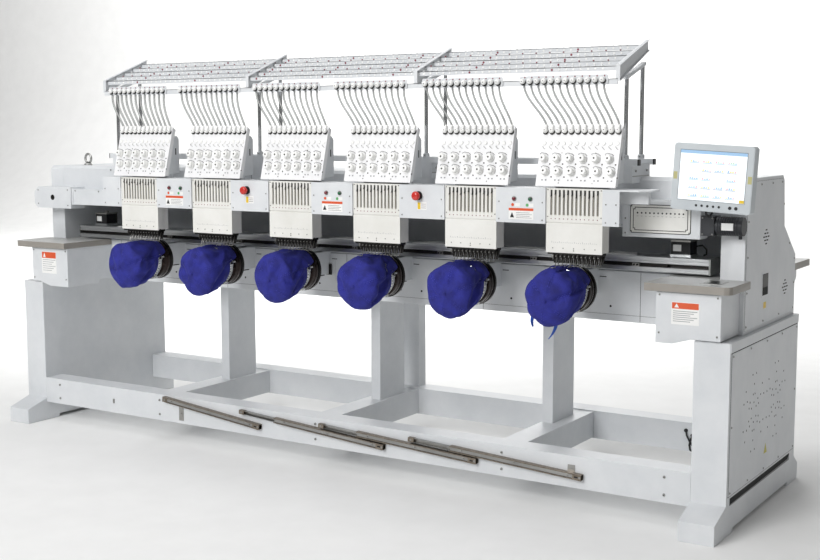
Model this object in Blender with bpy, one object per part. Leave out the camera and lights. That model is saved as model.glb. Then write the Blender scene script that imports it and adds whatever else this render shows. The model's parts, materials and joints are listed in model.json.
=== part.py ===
"""Six-head, twelve-needle cap embroidery machine on a floor stand.

X runs along the row of heads, -Y faces the operator and Z is up.
Heights are measured from the floor, and x = 0 is the middle of the stand until place_on_origin().
"""
import math

import bmesh
import bpy
from mathutils import Matrix, Vector

# Driving dimensions, in metres.
HEADS = 6
HEAD_PITCH = 0.400
HEAD_MIDDLE = 0.1525
NEEDLE_OFFSET = 0.085
GAP = 0.0003
STAND_HALF = 1.6745
STAND_FRONT, STAND_REAR = -0.515, 0.280
STAND_TOP = 0.648
END_WIDTH = 0.1225
FOOT_FRONT, FOOT_REAR = -0.6275, 0.335
SILL_BOTTOM, SILL_TOP, SILL_DEPTH = 0.0857, 0.200, 0.097
COLUMN_OUTER, COLUMN_INNER = 1.660, 1.577
COLUMN_FRONT, COLUMN_REAR = -0.345, 0.265
BED_FRONT, BED_TOP = -0.260, 0.832
BEAM_BOTTOM, BEAM_TOP, BEAM_REAR = 0.997, 1.174, 0.050
TABLE_BOTTOM, TABLE_TOP, TABLE_FRONT = 0.808, 0.8347, -0.552
CASE_HALF, CASE_FRONT, CASE_BACK = 0.1038, -0.5956, -0.530
CASE_BOTTOM, CASE_TOP = 0.9213, 1.140
TENSION_HALF, TENSION_BOTTOM, TENSION_TOP, TENSION_LEAN = 0.1469, 1.1461, 1.3514, 0.056
STRIP_LEFT, STRIP_RIGHT, SHELF_RIGHT = -1.054, 1.317, 1.4195
STRIP_FRONT, STRIP_BOTTOM, STRIP_TOP = -0.6007, 1.018, 1.1395
NEEDLE_Y, NEEDLE_TIP, NEEDLE_BAR_RADIUS = -0.578, 0.906, 0.0036
RING_Z, RING_INNER, RING_OUTER = 0.777, 0.074, 0.085
RING_FRONT, RING_BACK = -0.465, -0.4135
ARM_TIP, ARM_HALF, ARM_BOTTOM, ARM_TOP = -0.600, 0.028, 0.745, 0.840
RAIL_LEFT, RAIL_RIGHT, RAIL_FRONT, RAIL_BACK = -1.505, 1.535, -0.320, -0.200
RAIL_BOTTOM, RAIL_TOP = 0.8415, 0.897
RACK_MIDDLE = 0.0555
RACK_FRONT, RACK_REAR = -0.4843, -0.2256
TUBE_FRONT, TUBE_REAR, TUBE_RADIUS = -0.410, -0.270, 0.008
BUTTON_Z = 1.101
CORD_RADIUS = 0.00375
COIL_MIDDLE = (1.400, 0.400)
COIL_RADIUS, COIL_HALF_WIDTH, COIL_HEIGHT = 0.0372, 0.0111, 0.0300
ORIGIN_SHIFT = (0.028161, -0.075)

# Colour, metallic and roughness of each finish.
FINISHES = {
    "white_paint": ((0.78, 0.79, 0.80), 0.0, 0.42),
    "warm_white_paint": ((0.74, 0.73, 0.68), 0.0, 0.45),
    "table_laminate": ((0.70, 0.70, 0.69), 0.0, 0.30),
    "aluminium": ((0.66, 0.67, 0.68), 1.0, 0.32),
    "bright_steel": ((0.70, 0.70, 0.70), 1.0, 0.20),
    "stay_steel": ((0.42, 0.38, 0.33), 1.0, 0.38),
    "black_steel": ((0.035, 0.032, 0.030), 0.6, 0.40),
    "black_plastic": ((0.025, 0.025, 0.027), 0.0, 0.45),
    "grey_plastic": ((0.60, 0.62, 0.63), 0.0, 0.40),
    "blue_cloth": ((0.045, 0.050, 0.36), 0.0, 0.85),
    "red_plastic": ((0.62, 0.03, 0.03), 0.0, 0.35),
    "green_plastic": ((0.03, 0.30, 0.10), 0.0, 0.35),
    "black_cord": ((0.02, 0.02, 0.02), 0.0, 0.55),
}


def clear_scene():
    for item in list(bpy.data.objects):
        bpy.data.objects.remove(item)


def make_finishes():
    made = {}
    for name, (colour, metallic, roughness) in FINISHES.items():
        material = bpy.data.materials.new(name)
        material.use_nodes = True
        shader = material.node_tree.nodes["Principled BSDF"]
        shader.inputs["Base Color"].default_value = (*colour, 1.0)
        shader.inputs["Metallic"].default_value = metallic
        shader.inputs["Roughness"].default_value = roughness
        made[name] = material
    return made


def head_x(head):
    """Middle of a needle case, counted from 0 at the left."""
    return HEAD_MIDDLE + (head - (HEADS - 1) / 2) * HEAD_PITCH


def arm_x(head):
    """Sewing line of a head: its arm, cap ring and working needle."""
    return head_x(head) - NEEDLE_OFFSET


def to_object(bm, name="piece"):
    bmesh.ops.recalc_face_normals(bm, faces=bm.faces[:])
    mesh = bpy.data.meshes.new(name)
    bm.to_mesh(mesh)
    bm.free()
    made = bpy.data.objects.new(name, mesh)
    bpy.context.collection.objects.link(made)
    return made


def box(low, high):
    """Rectangular block between two corners."""
    bm = bmesh.new()
    bmesh.ops.create_cube(bm, size=1.0)
    size = [high[i] - low[i] for i in range(3)]
    middle = [(high[i] + low[i]) / 2 for i in range(3)]
    bmesh.ops.scale(bm, vec=size, verts=bm.verts[:])
    bmesh.ops.translate(bm, vec=middle, verts=bm.verts[:])
    return to_object(bm)


def prism(axis, outline, start, end):
    """Outline in the plane across an axis, extruded from start to end along it.

    Outline pairs are (y, z) for axis x, (x, z) for axis y and (x, y) for axis z.
    """
    place = {
        "x": lambda a, b: (start, a, b),
        "y": lambda a, b: (a, start, b),
        "z": lambda a, b: (a, b, start),
    }[axis]
    along = {"x": (1, 0, 0), "y": (0, 1, 0), "z": (0, 0, 1)}[axis]
    bm = bmesh.new()
    face = bm.faces.new([bm.verts.new(place(a, b)) for a, b in outline])
    grown = bmesh.ops.extrude_face_region(bm, geom=[face])
    moved = [item for item in grown["geom"] if isinstance(item, bmesh.types.BMVert)]
    bmesh.ops.translate(bm, vec=Vector(along) * (end - start), verts=moved)
    return to_object(bm)


def turned(axis, middle, profile, sides):
    """Closed profile of (radius, distance) pairs, spun about an axis through middle."""
    bm = bmesh.new()
    rings = []
    for radius, along in profile:
        if radius == 0.0:
            rings.append([bm.verts.new((0.0, 0.0, along))])
            continue
        ring = []
        for step in range(sides):
            angle = 2 * math.pi * step / sides
            ring.append(bm.verts.new((radius * math.cos(angle), radius * math.sin(angle), along)))
        rings.append(ring)
    for first, second in zip(rings, rings[1:] + rings[:1]):
        if len(first) == 1 and len(second) == 1:
            continue
        for step in range(sides):
            after = (step + 1) % sides
            if len(first) == 1:
                bm.faces.new((first[0], second[step], second[after]))
            elif len(second) == 1:
                bm.faces.new((first[step], second[0], first[after]))
            else:
                bm.faces.new((first[step], second[step], second[after], first[after]))
    turn = {
        "x": Matrix.Rotation(math.pi / 2, 4, "Y"),
        "y": Matrix.Rotation(-math.pi / 2, 4, "X"),
        "z": Matrix.Identity(4),
    }[axis]
    bm.transform(Matrix.Translation(middle) @ turn)
    return to_object(bm)


def rod(axis, middle, radius, start, end, sides=16):
    """Round bar; start and end are distances from middle along the axis."""
    return turned(axis, middle, [(0.0, start), (radius, start), (radius, end), (0.0, end)], sides)


def combine(base, others, operation):
    for other in others:
        boolean = base.modifiers.new("boolean", "BOOLEAN")
        boolean.operation = operation
        boolean.solver = "EXACT"
        boolean.object = other


def fuse(pieces, cuts=()):
    """One body from overlapping pieces, less the cutters."""
    base = pieces[0]
    combine(base, pieces[1:], "UNION")
    combine(base, cuts, "DIFFERENCE")
    evaluated = base.evaluated_get(bpy.context.evaluated_depsgraph_get())
    mesh = bpy.data.meshes.new_from_object(evaluated)
    base.modifiers.clear()
    base.data = mesh
    for other in list(pieces[1:]) + list(cuts):
        bpy.data.objects.remove(other)
    return base


def finish(made, name, material, bevel=0.0, origin=None):
    """Names a sub-part, gives it its material, an edge round and its joint's origin."""
    made.name = name
    made.data.name = name
    made.data.materials.clear()
    made.data.materials.append(material)
    if bevel:
        rounding = made.modifiers.new("edge_round", "BEVEL")
        rounding.width = bevel
        rounding.segments = 1
        rounding.limit_method = "ANGLE"
        rounding.angle_limit = math.radians(50)
    if origin:
        made.data.transform(Matrix.Translation(-Vector(origin)))
        made.location = origin
    return made


def stand_end(side, material):
    """Closed box frame at one end of the stand, with a sloped foot at front and rear."""
    outline = [
        (FOOT_FRONT, 0.0), (-0.440, 0.0), (-0.440, 0.015), (0.200, 0.015), (0.200, 0.0),
        (FOOT_REAR, 0.0), (FOOT_REAR, 0.062), (STAND_REAR, 0.100), (STAND_REAR, STAND_TOP),
        (STAND_FRONT, STAND_TOP), (STAND_FRONT, 0.105), (FOOT_FRONT, 0.068),
    ]
    inner = side * (STAND_HALF - END_WIDTH)
    frame = prism("x", outline, min(inner, side * STAND_HALF), max(inner, side * STAND_HALF))
    if side < 0:
        return finish(frame, "stand_end_left", material)
    gland = rod("y", (1.600, STAND_REAR, 0.155), 0.009, -0.005, 0.012, 12)
    return finish(fuse([frame, gland]), "stand_end_right", material)


def stand_frame(material):
    """Two long sills, three cross sills, three posts under the bed and one rear post."""
    half = STAND_HALF - END_WIDTH - GAP
    post_top = STAND_TOP - GAP
    pieces = [
        box((-half, STAND_FRONT, SILL_BOTTOM), (half, STAND_FRONT + SILL_DEPTH, SILL_TOP)),
        box((-half, STAND_REAR - SILL_DEPTH, SILL_BOTTOM), (half, STAND_REAR, SILL_TOP)),
    ]
    for cross_x, post_x in ((-0.840, -0.826), (0.0, 0.007), (0.840, 0.816)):
        pieces.append(box((cross_x - 0.050, STAND_FRONT + 0.050, 0.090), (cross_x + 0.050, 0.230, 0.196)))
        pieces.append(box((post_x - 0.0225, -0.092, 0.150), (post_x + 0.0225, 0.098, post_top)))
    pieces.append(box((-0.102, 0.2225, 0.150), (0.0265, 0.279, post_top)))
    return finish(fuse(pieces), "stand_frame", material)


def machine_bed(material):
    """Box bed with one narrow sewing arm for each head."""
    half = COLUMN_INNER - GAP
    pieces = [box((-half, BED_FRONT, STAND_TOP + GAP), (half, COLUMN_REAR, BED_TOP))]
    for head in range(HEADS):
        x = arm_x(head)
        pieces.append(box((x - ARM_HALF, ARM_TIP, ARM_BOTTOM), (x + ARM_HALF, BED_FRONT + 0.05, ARM_TOP)))
    return finish(fuse(pieces), "machine_bed", material)


def upper_beam(material):
    """Beam over the bed with its rear web, head brackets, shaft housing and rack feet."""
    half = COLUMN_INNER - GAP
    outline = [
        (COLUMN_FRONT, BEAM_BOTTOM), (0.030, BEAM_BOTTOM), (0.030, BED_TOP + GAP), (0.090, BED_TOP + GAP),
        (0.090, BEAM_TOP - 0.012), (0.078, BEAM_TOP), (COLUMN_FRONT + 0.012, BEAM_TOP),
        (COLUMN_FRONT, BEAM_TOP - 0.012),
    ]
    pieces = [prism("x", outline, -half, half)]
    for head in range(HEADS):
        x = arm_x(head)
        pieces.append(box((x - 0.045, -0.505, 1.020), (x + 0.045, COLUMN_FRONT + 0.02, 1.132)))
    housing = [(-1.680, 1.000), (-1.660, 0.981), (-1.440, 0.981), (-1.440, 1.078), (-1.655, 1.078), (-1.680, 1.055)]
    pieces.append(prism("y", housing, -0.430, COLUMN_FRONT - GAP))
    pieces.append(box((-1.570, -0.400, 1.005), (-1.450, COLUMN_FRONT + 0.02, 1.070)))
    pieces.append(box((-1.450, -0.420, 1.000), (-1.100, COLUMN_FRONT + 0.02, 1.070)))
    for y in (TUBE_FRONT, TUBE_REAR):
        ends = (RACK_MIDDLE - 1.25, RACK_MIDDLE + 1.25)
        pieces.append(box((ends[0], y - 0.010, 1.2145), (ends[1], y + 0.010, 1.2345)))
    for x in stanchion_places():
        pieces.append(box((x - 0.030, TUBE_FRONT - 0.009, BEAM_TOP - 0.02), (x + 0.030, TUBE_REAR + 0.009, 1.220)))
    return finish(fuse(pieces), "upper_beam", material)


def column_outline():
    return [
        (COLUMN_FRONT, STAND_TOP + GAP), (COLUMN_REAR, STAND_TOP + GAP), (COLUMN_REAR, 0.873),
        (0.110, 0.990), (0.092, 1.156), (0.074, BEAM_TOP), (COLUMN_FRONT + 0.015, BEAM_TOP),
        (COLUMN_FRONT, BEAM_TOP - 0.015),
    ]


def column(side, material):
    """End cabinet; the right one carries the bracket of the operation panel."""
    ends = sorted((side * COLUMN_INNER, side * COLUMN_OUTER))
    body = prism("x", column_outline(), ends[0], ends[1])
    if side < 0:
        return finish(body, "column_left", material)
    arm = box((1.585, -0.430, 1.105), (1.615, COLUMN_FRONT + 0.02, 1.145))
    ear = box((1.592, -0.460, 1.118), (1.608, -0.420, 1.142))
    return finish(fuse([body, arm, ear]), "column_right", material)


def side_table(side, box_inner, box_outer, top_inner, top_outer, name, material):
    """Control box beside the bed with its laminated worktop."""
    def flip(pairs):
        return [(side * a, b) for a, b in pairs]

    front = flip([
        (box_inner, 0.634), (1.482, 0.634), (1.546, 0.6525), (box_outer, 0.6525),
        (box_outer, 0.815), (box_inner, 0.815),
    ])
    pieces = [prism("y", front, -0.5316, COLUMN_FRONT - GAP)]
    inner_end = COLUMN_INNER - 0.001
    ends = sorted((side * box_inner, side * inner_end))
    pieces.append(box((ends[0], -0.360, 0.6525), (ends[1], BED_FRONT - GAP, 0.815)))
    corner = 0.022
    top = flip([
        (top_inner, TABLE_FRONT), (top_outer - corner, TABLE_FRONT), (top_outer - 0.3 * corner, TABLE_FRONT + 0.3 * corner),
        (top_outer, TABLE_FRONT + corner), (top_outer, COLUMN_FRONT - GAP), (inner_end, COLUMN_FRONT - GAP),
        (inner_end, BED_FRONT - GAP), (top_inner, BED_FRONT - GAP),
    ])
    pieces.append(prism("z", top, TABLE_BOTTOM, TABLE_TOP))
    return finish(fuse(pieces), name, material)


def rear_table(material):
    """Shelf behind the bed on three brackets."""
    slab = box((-1.652, COLUMN_REAR + GAP, TABLE_BOTTOM), (1.652, 0.500, TABLE_TOP))
    bracket = [
        (COLUMN_REAR + GAP, 0.735), (0.330, 0.748), (0.360, 0.775), (0.360, 0.815), (COLUMN_REAR + GAP, 0.815),
    ]
    pieces = [slab]
    for x in (-1.620, 0.0, 1.620):
        pieces.append(prism("x", bracket, x - 0.020, x + 0.020))
    return finish(fuse(pieces), "rear_table", material)


def colour_change_box(material):
    """Housing of the needle-change cam, bored for its push rod."""
    body = box((1.255, -0.420, 0.972), (1.530, COLUMN_FRONT - GAP, 1.099))
    bore = rod("x", (1.255, -0.385, 1.006), 0.008, -0.01, 0.215, 16)
    return finish(fuse([body], [bore]), "colour_change_box", material)


def colour_change_motor(material):
    """Square gearhead with a round motor behind it."""
    head = box((1.5303, -0.418, 0.985), (1.578, -0.352, 1.051))
    body = rod("x", (1.578, -0.385, 1.018), 0.0325, -0.008, 0.092, 24)
    return finish(fuse([head, body]), "colour_change_motor", material)


def monitor(material):
    """Operation panel on its tilt pivot."""
    pivot = (1.600, -0.452, 1.130)
    case = box((-0.1325, -0.0225, -0.108), (0.1325, 0.0225, 0.108))
    case.data.transform(Matrix.Translation((1.600, -0.4985, 1.1805)) @ Matrix.Rotation(math.radians(3.2), 4, "Y"))
    pieces = [case]
    for side in (-1, 1):
        x = 1.600 + side * 0.0115
        pieces.append(box((x - 0.003, -0.490, 1.120), (x + 0.003, -0.444, 1.140)))
    return finish(fuse(pieces), "monitor", material, origin=pivot)


def stanchion_places():
    return [RACK_MIDDLE + step * HEAD_PITCH for step in (-3, -1, 1, 3)]


def rack_slope(y):
    """Height of the rack's upper edge at a depth."""
    return 1.552 + (y - RACK_FRONT) * (1.6505 - 1.552) / (RACK_REAR - RACK_FRONT)


def rack_stanchion(number, x, material):
    """Pair of upright tubes joined at the top under the rack."""
    pieces = []
    for y in (TUBE_FRONT, TUBE_REAR):
        foot = 1.2345 + GAP
        pieces.append(rod("z", (x, y, 0.0), TUBE_RADIUS, foot, rack_slope(y) - 0.062, 10))
    tie = [
        (TUBE_FRONT - 0.012, rack_slope(TUBE_FRONT) - 0.072), (TUBE_REAR + 0.012, rack_slope(TUBE_REAR) - 0.072),
        (TUBE_REAR + 0.012, rack_slope(TUBE_REAR) - 0.0570), (TUBE_FRONT - 0.012, rack_slope(TUBE_FRONT) - 0.0570),
    ]
    pieces.append(prism("x", tie, x - 0.010, x + 0.010))
    return finish(fuse(pieces), "rack_stanchion_%d" % number, material)


def rack_grid(material):
    """Four sloped cheeks joined by the thread-guide bars."""
    cheek = [
        (RACK_FRONT, 1.498), (RACK_REAR, rack_slope(RACK_REAR) - 0.040), (RACK_REAR, rack_slope(RACK_REAR)),
        (RACK_FRONT, rack_slope(RACK_FRONT)),
    ]
    pieces = []
    for x in stanchion_places():
        pieces.append(prism("x", cheek, x - 0.008, x + 0.008))
    ends = (RACK_MIDDLE - 3 * HEAD_PITCH, RACK_MIDDLE + 3 * HEAD_PITCH)
    pieces.append(box((ends[0], RACK_FRONT - 0.004, 1.487), (ends[1], RACK_FRONT + 0.006, 1.507)))
    for y in (-0.462, -0.410, -0.358, -0.306, -0.250):
        z = rack_slope(y) - 0.012
        pieces.append(box((ends[0], y - 0.010, z - 0.004), (ends[1], y + 0.010, z + 0.004)))
    return finish(fuse(pieces), "rack_grid", material)


def pantograph_beam(material):
    """Moving rail with a slot for the drive bar, its two motors and the cap-ring seats."""
    slot_low, slot_high = 0.8595, 0.8735
    outline = [
        (RAIL_FRONT, RAIL_BOTTOM), (RAIL_BACK, RAIL_BOTTOM), (RAIL_BACK, RAIL_TOP), (RAIL_FRONT, RAIL_TOP),
        (RAIL_FRONT, slot_high), (RAIL_FRONT + 0.020, slot_high), (RAIL_FRONT + 0.020, slot_low), (RAIL_FRONT, slot_low),
    ]
    pieces = [prism("x", outline, RAIL_LEFT, RAIL_RIGHT)]
    for x in (-1.450, 1.372):
        pieces.append(box((x, -0.275, RAIL_TOP - 0.010), (x + 0.075, -0.200 - 0.002, 0.955)))
    for head in range(HEADS):
        x = arm_x(head)
        seat = [
            (0.0735, -0.4125), (0.0865, -0.4125), (0.0865, -0.4005), (0.0735, -0.4005),
        ]
        pieces.append(turned("y", (x, 0.0, RING_Z), seat, 24))
        pieces.append(box((x - 0.020, -0.404, 0.8445), (x + 0.020, RAIL_FRONT + 0.01, 0.857)))
    return finish(fuse(pieces), "pantograph_beam", material)


def cap_drive_bar(material):
    bar = box((-1.380, RAIL_FRONT + 0.001, 0.861), (1.380, RAIL_FRONT + 0.016, 0.872))
    return finish(bar, "cap_drive_bar", material)


def panel_spans():
    """Stretches of the switch panel between the needle cases."""
    edges = [STRIP_LEFT]
    for head in range(HEADS):
        edges.append(head_x(head) - CASE_HALF - 0.0007)
        edges.append(head_x(head) + CASE_HALF + 0.0007)
    edges.append(STRIP_RIGHT)
    return list(zip(edges[0::2], edges[1::2]))


def button_places():
    """Name, finish, x and head radius of each button, between every two heads."""
    places = []
    for number, between in enumerate((0.5, 2.5, 4.5), 1):
        middle = HEAD_MIDDLE + (between - (HEADS - 1) / 2) * HEAD_PITCH
        places.append(("stop_button_%d" % number, "red_plastic", middle - 0.024, 0.0062))
        places.append(("start_button_%d" % number, "green_plastic", middle + 0.038, 0.0062))
    for number, between in enumerate((1.5, 3.5), 1):
        middle = HEAD_MIDDLE + (between - (HEADS - 1) / 2) * HEAD_PITCH
        places.append(("emergency_stop_%d" % number, "red_plastic", middle - 0.0125, 0.0165))
    return places


def switch_panel_strip(material):
    """Shelf and front panels that slide with the needle cases, with the push rod."""
    shelf_low = 1.1340
    rear = (-0.528, -0.508)
    pieces = [box((STRIP_LEFT, rear[0], 1.090), (SHELF_RIGHT - 0.030, rear[1], STRIP_TOP))]
    for start, end in panel_spans():
        pieces.append(box((start, STRIP_FRONT, shelf_low), (end, rear[0] + 0.005, STRIP_TOP)))
        pieces.append(box((start, STRIP_FRONT, STRIP_BOTTOM), (end, STRIP_FRONT + 0.003, STRIP_TOP - 0.001)))
    wing = [
        (STRIP_RIGHT - 0.010, STRIP_FRONT), (SHELF_RIGHT - 0.035, STRIP_FRONT), (SHELF_RIGHT, STRIP_FRONT + 0.030),
        (SHELF_RIGHT, rear[1]), (STRIP_RIGHT - 0.010, rear[1]),
    ]
    pieces.append(prism("z", wing, shelf_low, STRIP_TOP))
    pieces.append(box((1.090, -0.515, 1.000), (1.104, -0.380, 1.012)))
    pieces.append(box((1.090, -0.522, 1.000), (1.104, -0.508, 1.100)))
    pieces.append(rod("x", (1.095, -0.385, 1.006), 0.005, 0.0, 0.350, 10))
    cuts = []
    for name, colour, x, radius in button_places():
        hole = 0.0068 if radius < 0.01 else 0.0088
        cuts.append(rod("y", (x, STRIP_FRONT, BUTTON_Z), hole, -0.01, 0.02, 16))
    return finish(fuse(pieces, cuts), "switch_panel_strip", material)


def button(name, x, radius, material):
    """Button on a stem through its hole in the panel; it travels along +Y."""
    middle = (x, STRIP_FRONT, BUTTON_Z)
    if radius < 0.01:
        made = rod("y", middle, radius, -0.0085, 0.0015, 14)
    else:
        profile = [
            (0.0, -0.030), (0.012, -0.029), (radius, -0.024), (radius, -0.017), (0.013, -0.013),
            (0.008, -0.013), (0.008, 0.0015), (0.0, 0.0015),
        ]
        made = turned("y", middle, profile, 16)
    return finish(made, name, material, origin=middle)


def needle_case(head, material):
    """Needle case with the leaning tension board on top, slotted for the working needle bar."""
    x = head_x(head)
    half = TENSION_HALF
    top_front = CASE_FRONT + TENSION_LEAN
    board = [
        (CASE_FRONT, TENSION_BOTTOM), (CASE_FRONT + 0.012, TENSION_BOTTOM), (top_front + 0.010, TENSION_TOP),
        (top_front, TENSION_TOP),
    ]
    back = [(CASE_FRONT + 0.008, 1.150), (-0.488, 1.158), (-0.488, 1.300), (-0.500, 1.3133), (top_front, 1.3133)]
    pieces = [
        box((x - CASE_HALF, CASE_FRONT, CASE_BOTTOM), (x + CASE_HALF, CASE_BACK, CASE_TOP)),
        box((x - 0.095, CASE_FRONT + 0.004, CASE_TOP - 0.01), (x + 0.095, CASE_BACK - 0.002, 1.170)),
        prism("x", back, x - half + 0.016, x + half - 0.016),
        prism("x", board, x - half, x + half),
    ]
    bar_x = arm_x(head)
    slot = box((bar_x - 0.0046, NEEDLE_Y - 0.0046, CASE_BOTTOM - 0.02), (bar_x + 0.0046, NEEDLE_Y + 0.0046, 1.060))
    return finish(fuse(pieces, [slot]), "needle_case_%d" % (head + 1), material)


def needle_bar(head, material):
    x = arm_x(head)
    profile = [
        (0.0, NEEDLE_TIP), (0.0022, NEEDLE_TIP), (0.0022, NEEDLE_TIP + 0.006), (NEEDLE_BAR_RADIUS, NEEDLE_TIP + 0.008),
        (NEEDLE_BAR_RADIUS, 1.030), (0.0, 1.030),
    ]
    made = turned("z", (x, NEEDLE_Y, 0.0), profile, 10)
    return finish(made, "needle_bar_%d" % (head + 1), material)


def cap_ring(head, material):
    """Driver ring that a cap frame clips on to; it turns about the arm."""
    middle = (arm_x(head), 0.0, RING_Z)
    profile = [
        (RING_INNER, RING_FRONT), (RING_OUTER - 0.003, RING_FRONT), (RING_OUTER, RING_FRONT + 0.004),
        (RING_OUTER, RING_BACK), (RING_INNER, RING_BACK),
    ]
    made = turned("y", middle, profile, 32)
    return finish(made, "cap_ring_%d" % (head + 1), material, origin=(middle[0], (RING_FRONT + RING_BACK) / 2, RING_Z))


def cap(head, material):
    """Cloth cap stretched on its frame: an open-backed bag over the sewing arm."""
    middle = (arm_x(head), 0.0, RING_Z)
    start = RING_FRONT - 0.0005
    outer = [(0.0830, start), (0.0865, -0.500), (0.0870, -0.560), (0.0820, -0.600), (0.0620, -0.630), (0.0340, -0.645)]
    inner = [(0.0300, -0.641), (0.0590, -0.626), (0.0775, -0.598), (0.0830, -0.560), (0.0825, -0.500), (0.0795, start)]
    profile = outer + [(0.0, -0.650), (0.0, -0.6455)] + inner
    made = turned("y", middle, profile, 20)
    made.data.shade_smooth()
    return finish(made, "cap_%d" % (head + 1), material, origin=(middle[0], start, RING_Z))


STAYS = (
    ((-0.805, 0.186), (-0.271, 0.128)),
    ((-0.378, 0.182), (0.338, 0.127)),
    ((0.028, 0.175), (0.746, 0.130)),
    ((0.449, 0.175), (1.166, 0.130)),
)


def table_stay(number, left, right, material):
    """Steel stay of the front table, folded against the front sill and hinged at its right."""
    depth = (-0.5365, STAND_FRONT - 0.0005)
    half = 0.011
    bar = prism(
        "y",
        [(left[0], left[1] - half), (right[0], right[1] - half), (right[0], right[1] + half), (left[0], left[1] + half)],
        depth[0], depth[1],
    )
    pivot = (right[0], depth[1], right[1])
    return finish(bar, "table_stay_%d" % number, material, origin=pivot)


# Route of the mains lead from its gland to the coil, in metres.
CORD_ROUTE = (
    (1.600, 0.2923, 0.1550), (1.6000, 0.3120, 0.1540), (1.6030, 0.3330, 0.1440), (1.6090, 0.3510, 0.1240),
    (1.6170, 0.3640, 0.0980), (1.6250, 0.3740, 0.0700), (1.6300, 0.3840, 0.0430), (1.6290, 0.3990, 0.0200),
    (1.6190, 0.4180, 0.0070), (1.6000, 0.4350, 0.0040), (1.5740, 0.4470, 0.0040), (1.5420, 0.4530, 0.0040),
    (1.5050, 0.4535, 0.0040), (1.4650, 0.4527, 0.0040), (1.4300, 0.4521, 0.0040), (1.4003, 0.4519, 0.0040),
)


def smooth_route(route, spacing):
    """Points along a Catmull-Rom curve through the route."""
    points = [Vector(point) for point in route]
    padded = [2 * points[0] - points[1]] + points + [2 * points[-1] - points[-2]]
    fine = []
    for first, start, end, last in zip(padded, padded[1:], padded[2:], padded[3:]):
        for step in range(12):
            t = step / 12
            fine.append(0.5 * (
                2 * start + (end - first) * t
                + (2 * first - 5 * start + 4 * end - last) * t * t
                + (3 * start - first - 3 * end + last) * t ** 3
            ))
    fine.append(points[-1])
    kept = [fine[0]]
    walked = 0.0
    for before, after in zip(fine, fine[1:]):
        walked += (after - before).length
        if walked >= spacing:
            kept.append(after)
            walked = 0.0
    if (kept[-1] - fine[-1]).length > 0.4 * spacing:
        kept.append(fine[-1])
    else:
        kept[-1] = fine[-1]
    return kept


def mains_cord(material):
    points = smooth_route(CORD_ROUTE, 5 * CORD_RADIUS)
    curve = bpy.data.curves.new("mains_cord", "CURVE")
    curve.dimensions = "3D"
    curve.bevel_depth = CORD_RADIUS
    curve.bevel_resolution = 2
    curve.use_fill_caps = True
    spline = curve.splines.new("POLY")
    spline.points.add(len(points) - 1)
    for slot, point in zip(spline.points, points):
        slot.co = (*point, 1.0)
    curve.materials.append(material)
    made = bpy.data.objects.new("mains_cord", curve)
    bpy.context.collection.objects.link(made)
    return made


def mains_coil(material):
    """Outer shape of the wound lead, lying on the floor."""
    low, high = COIL_RADIUS - COIL_HALF_WIDTH, COIL_RADIUS + COIL_HALF_WIDTH
    profile = [(low, 0.0), (high, 0.0), (high, COIL_HEIGHT), (low, COIL_HEIGHT)]
    made = turned("z", (COIL_MIDDLE[0], COIL_MIDDLE[1], 0.0003), profile, 28)
    return finish(made, "mains_coil", material)


def mains_plug(material):
    """Moulded plug lying beside the coil, in line with the turn that leaves it."""
    x, y, z = COIL_MIDDLE[0], COIL_MIDDLE[1] + COIL_RADIUS + COIL_HALF_WIDTH - CORD_RADIUS, 0.0153
    body = box((x - 0.105, y - 0.018, 0.0003), (x - 0.055, y + 0.018, 0.0303))
    pins = [rod("x", (x - 0.100, y + side * 0.0095, z), 0.0024, -0.024, 0.0, 8) for side in (-1, 1)]
    neck = turned("x", (x, y, z), [(0.0, -0.056), (0.0075, -0.056), (0.0045, -0.031), (0.0, -0.031)], 12)
    return finish(fuse([body, neck] + pins), "mains_plug", material)


def place_on_origin():
    """Moves the model so that its origin is under the middle of its box, on the floor."""
    for item in bpy.data.objects:
        item.location.x -= ORIGIN_SHIFT[0]
        item.location.y -= ORIGIN_SHIFT[1]


def build():
    clear_scene()
    paint = make_finishes()
    white = paint["white_paint"]
    stand_frame(white)
    stand_end(-1, white)
    stand_end(1, white)
    machine_bed(white)
    upper_beam(white)
    column(-1, white)
    column(1, white)
    side_table(-1, 1.3648, 1.594, 1.362, 1.682, "side_table_left", paint["table_laminate"])
    side_table(1, 1.4235, 1.646, 1.388, 1.682, "side_table_right", paint["table_laminate"])
    rear_table(paint["table_laminate"])
    colour_change_box(paint["warm_white_paint"])
    colour_change_motor(paint["black_plastic"])
    monitor(paint["grey_plastic"])
    rack_grid(paint["aluminium"])
    for number, x in enumerate(stanchion_places(), 1):
        rack_stanchion(number, x, paint["bright_steel"])
    pantograph_beam(paint["aluminium"])
    cap_drive_bar(paint["black_steel"])
    switch_panel_strip(white)
    for name, colour, x, radius in button_places():
        button(name, x, radius, paint[colour])
    for head in range(HEADS):
        needle_case(head, paint["warm_white_paint"])
        needle_bar(head, paint["bright_steel"])
        cap_ring(head, paint["black_steel"])
        cap(head, paint["blue_cloth"])
    for number, (left, right) in enumerate(STAYS, 1):
        table_stay(number, left, right, paint["stay_steel"])
    mains_cord(paint["black_cord"])
    mains_coil(paint["black_cord"])
    mains_plug(paint["black_plastic"])
    place_on_origin()


build()
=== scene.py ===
import json
import math
import random
import bmesh
import bpy
from mathutils import Matrix, Vector, noise


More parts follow.
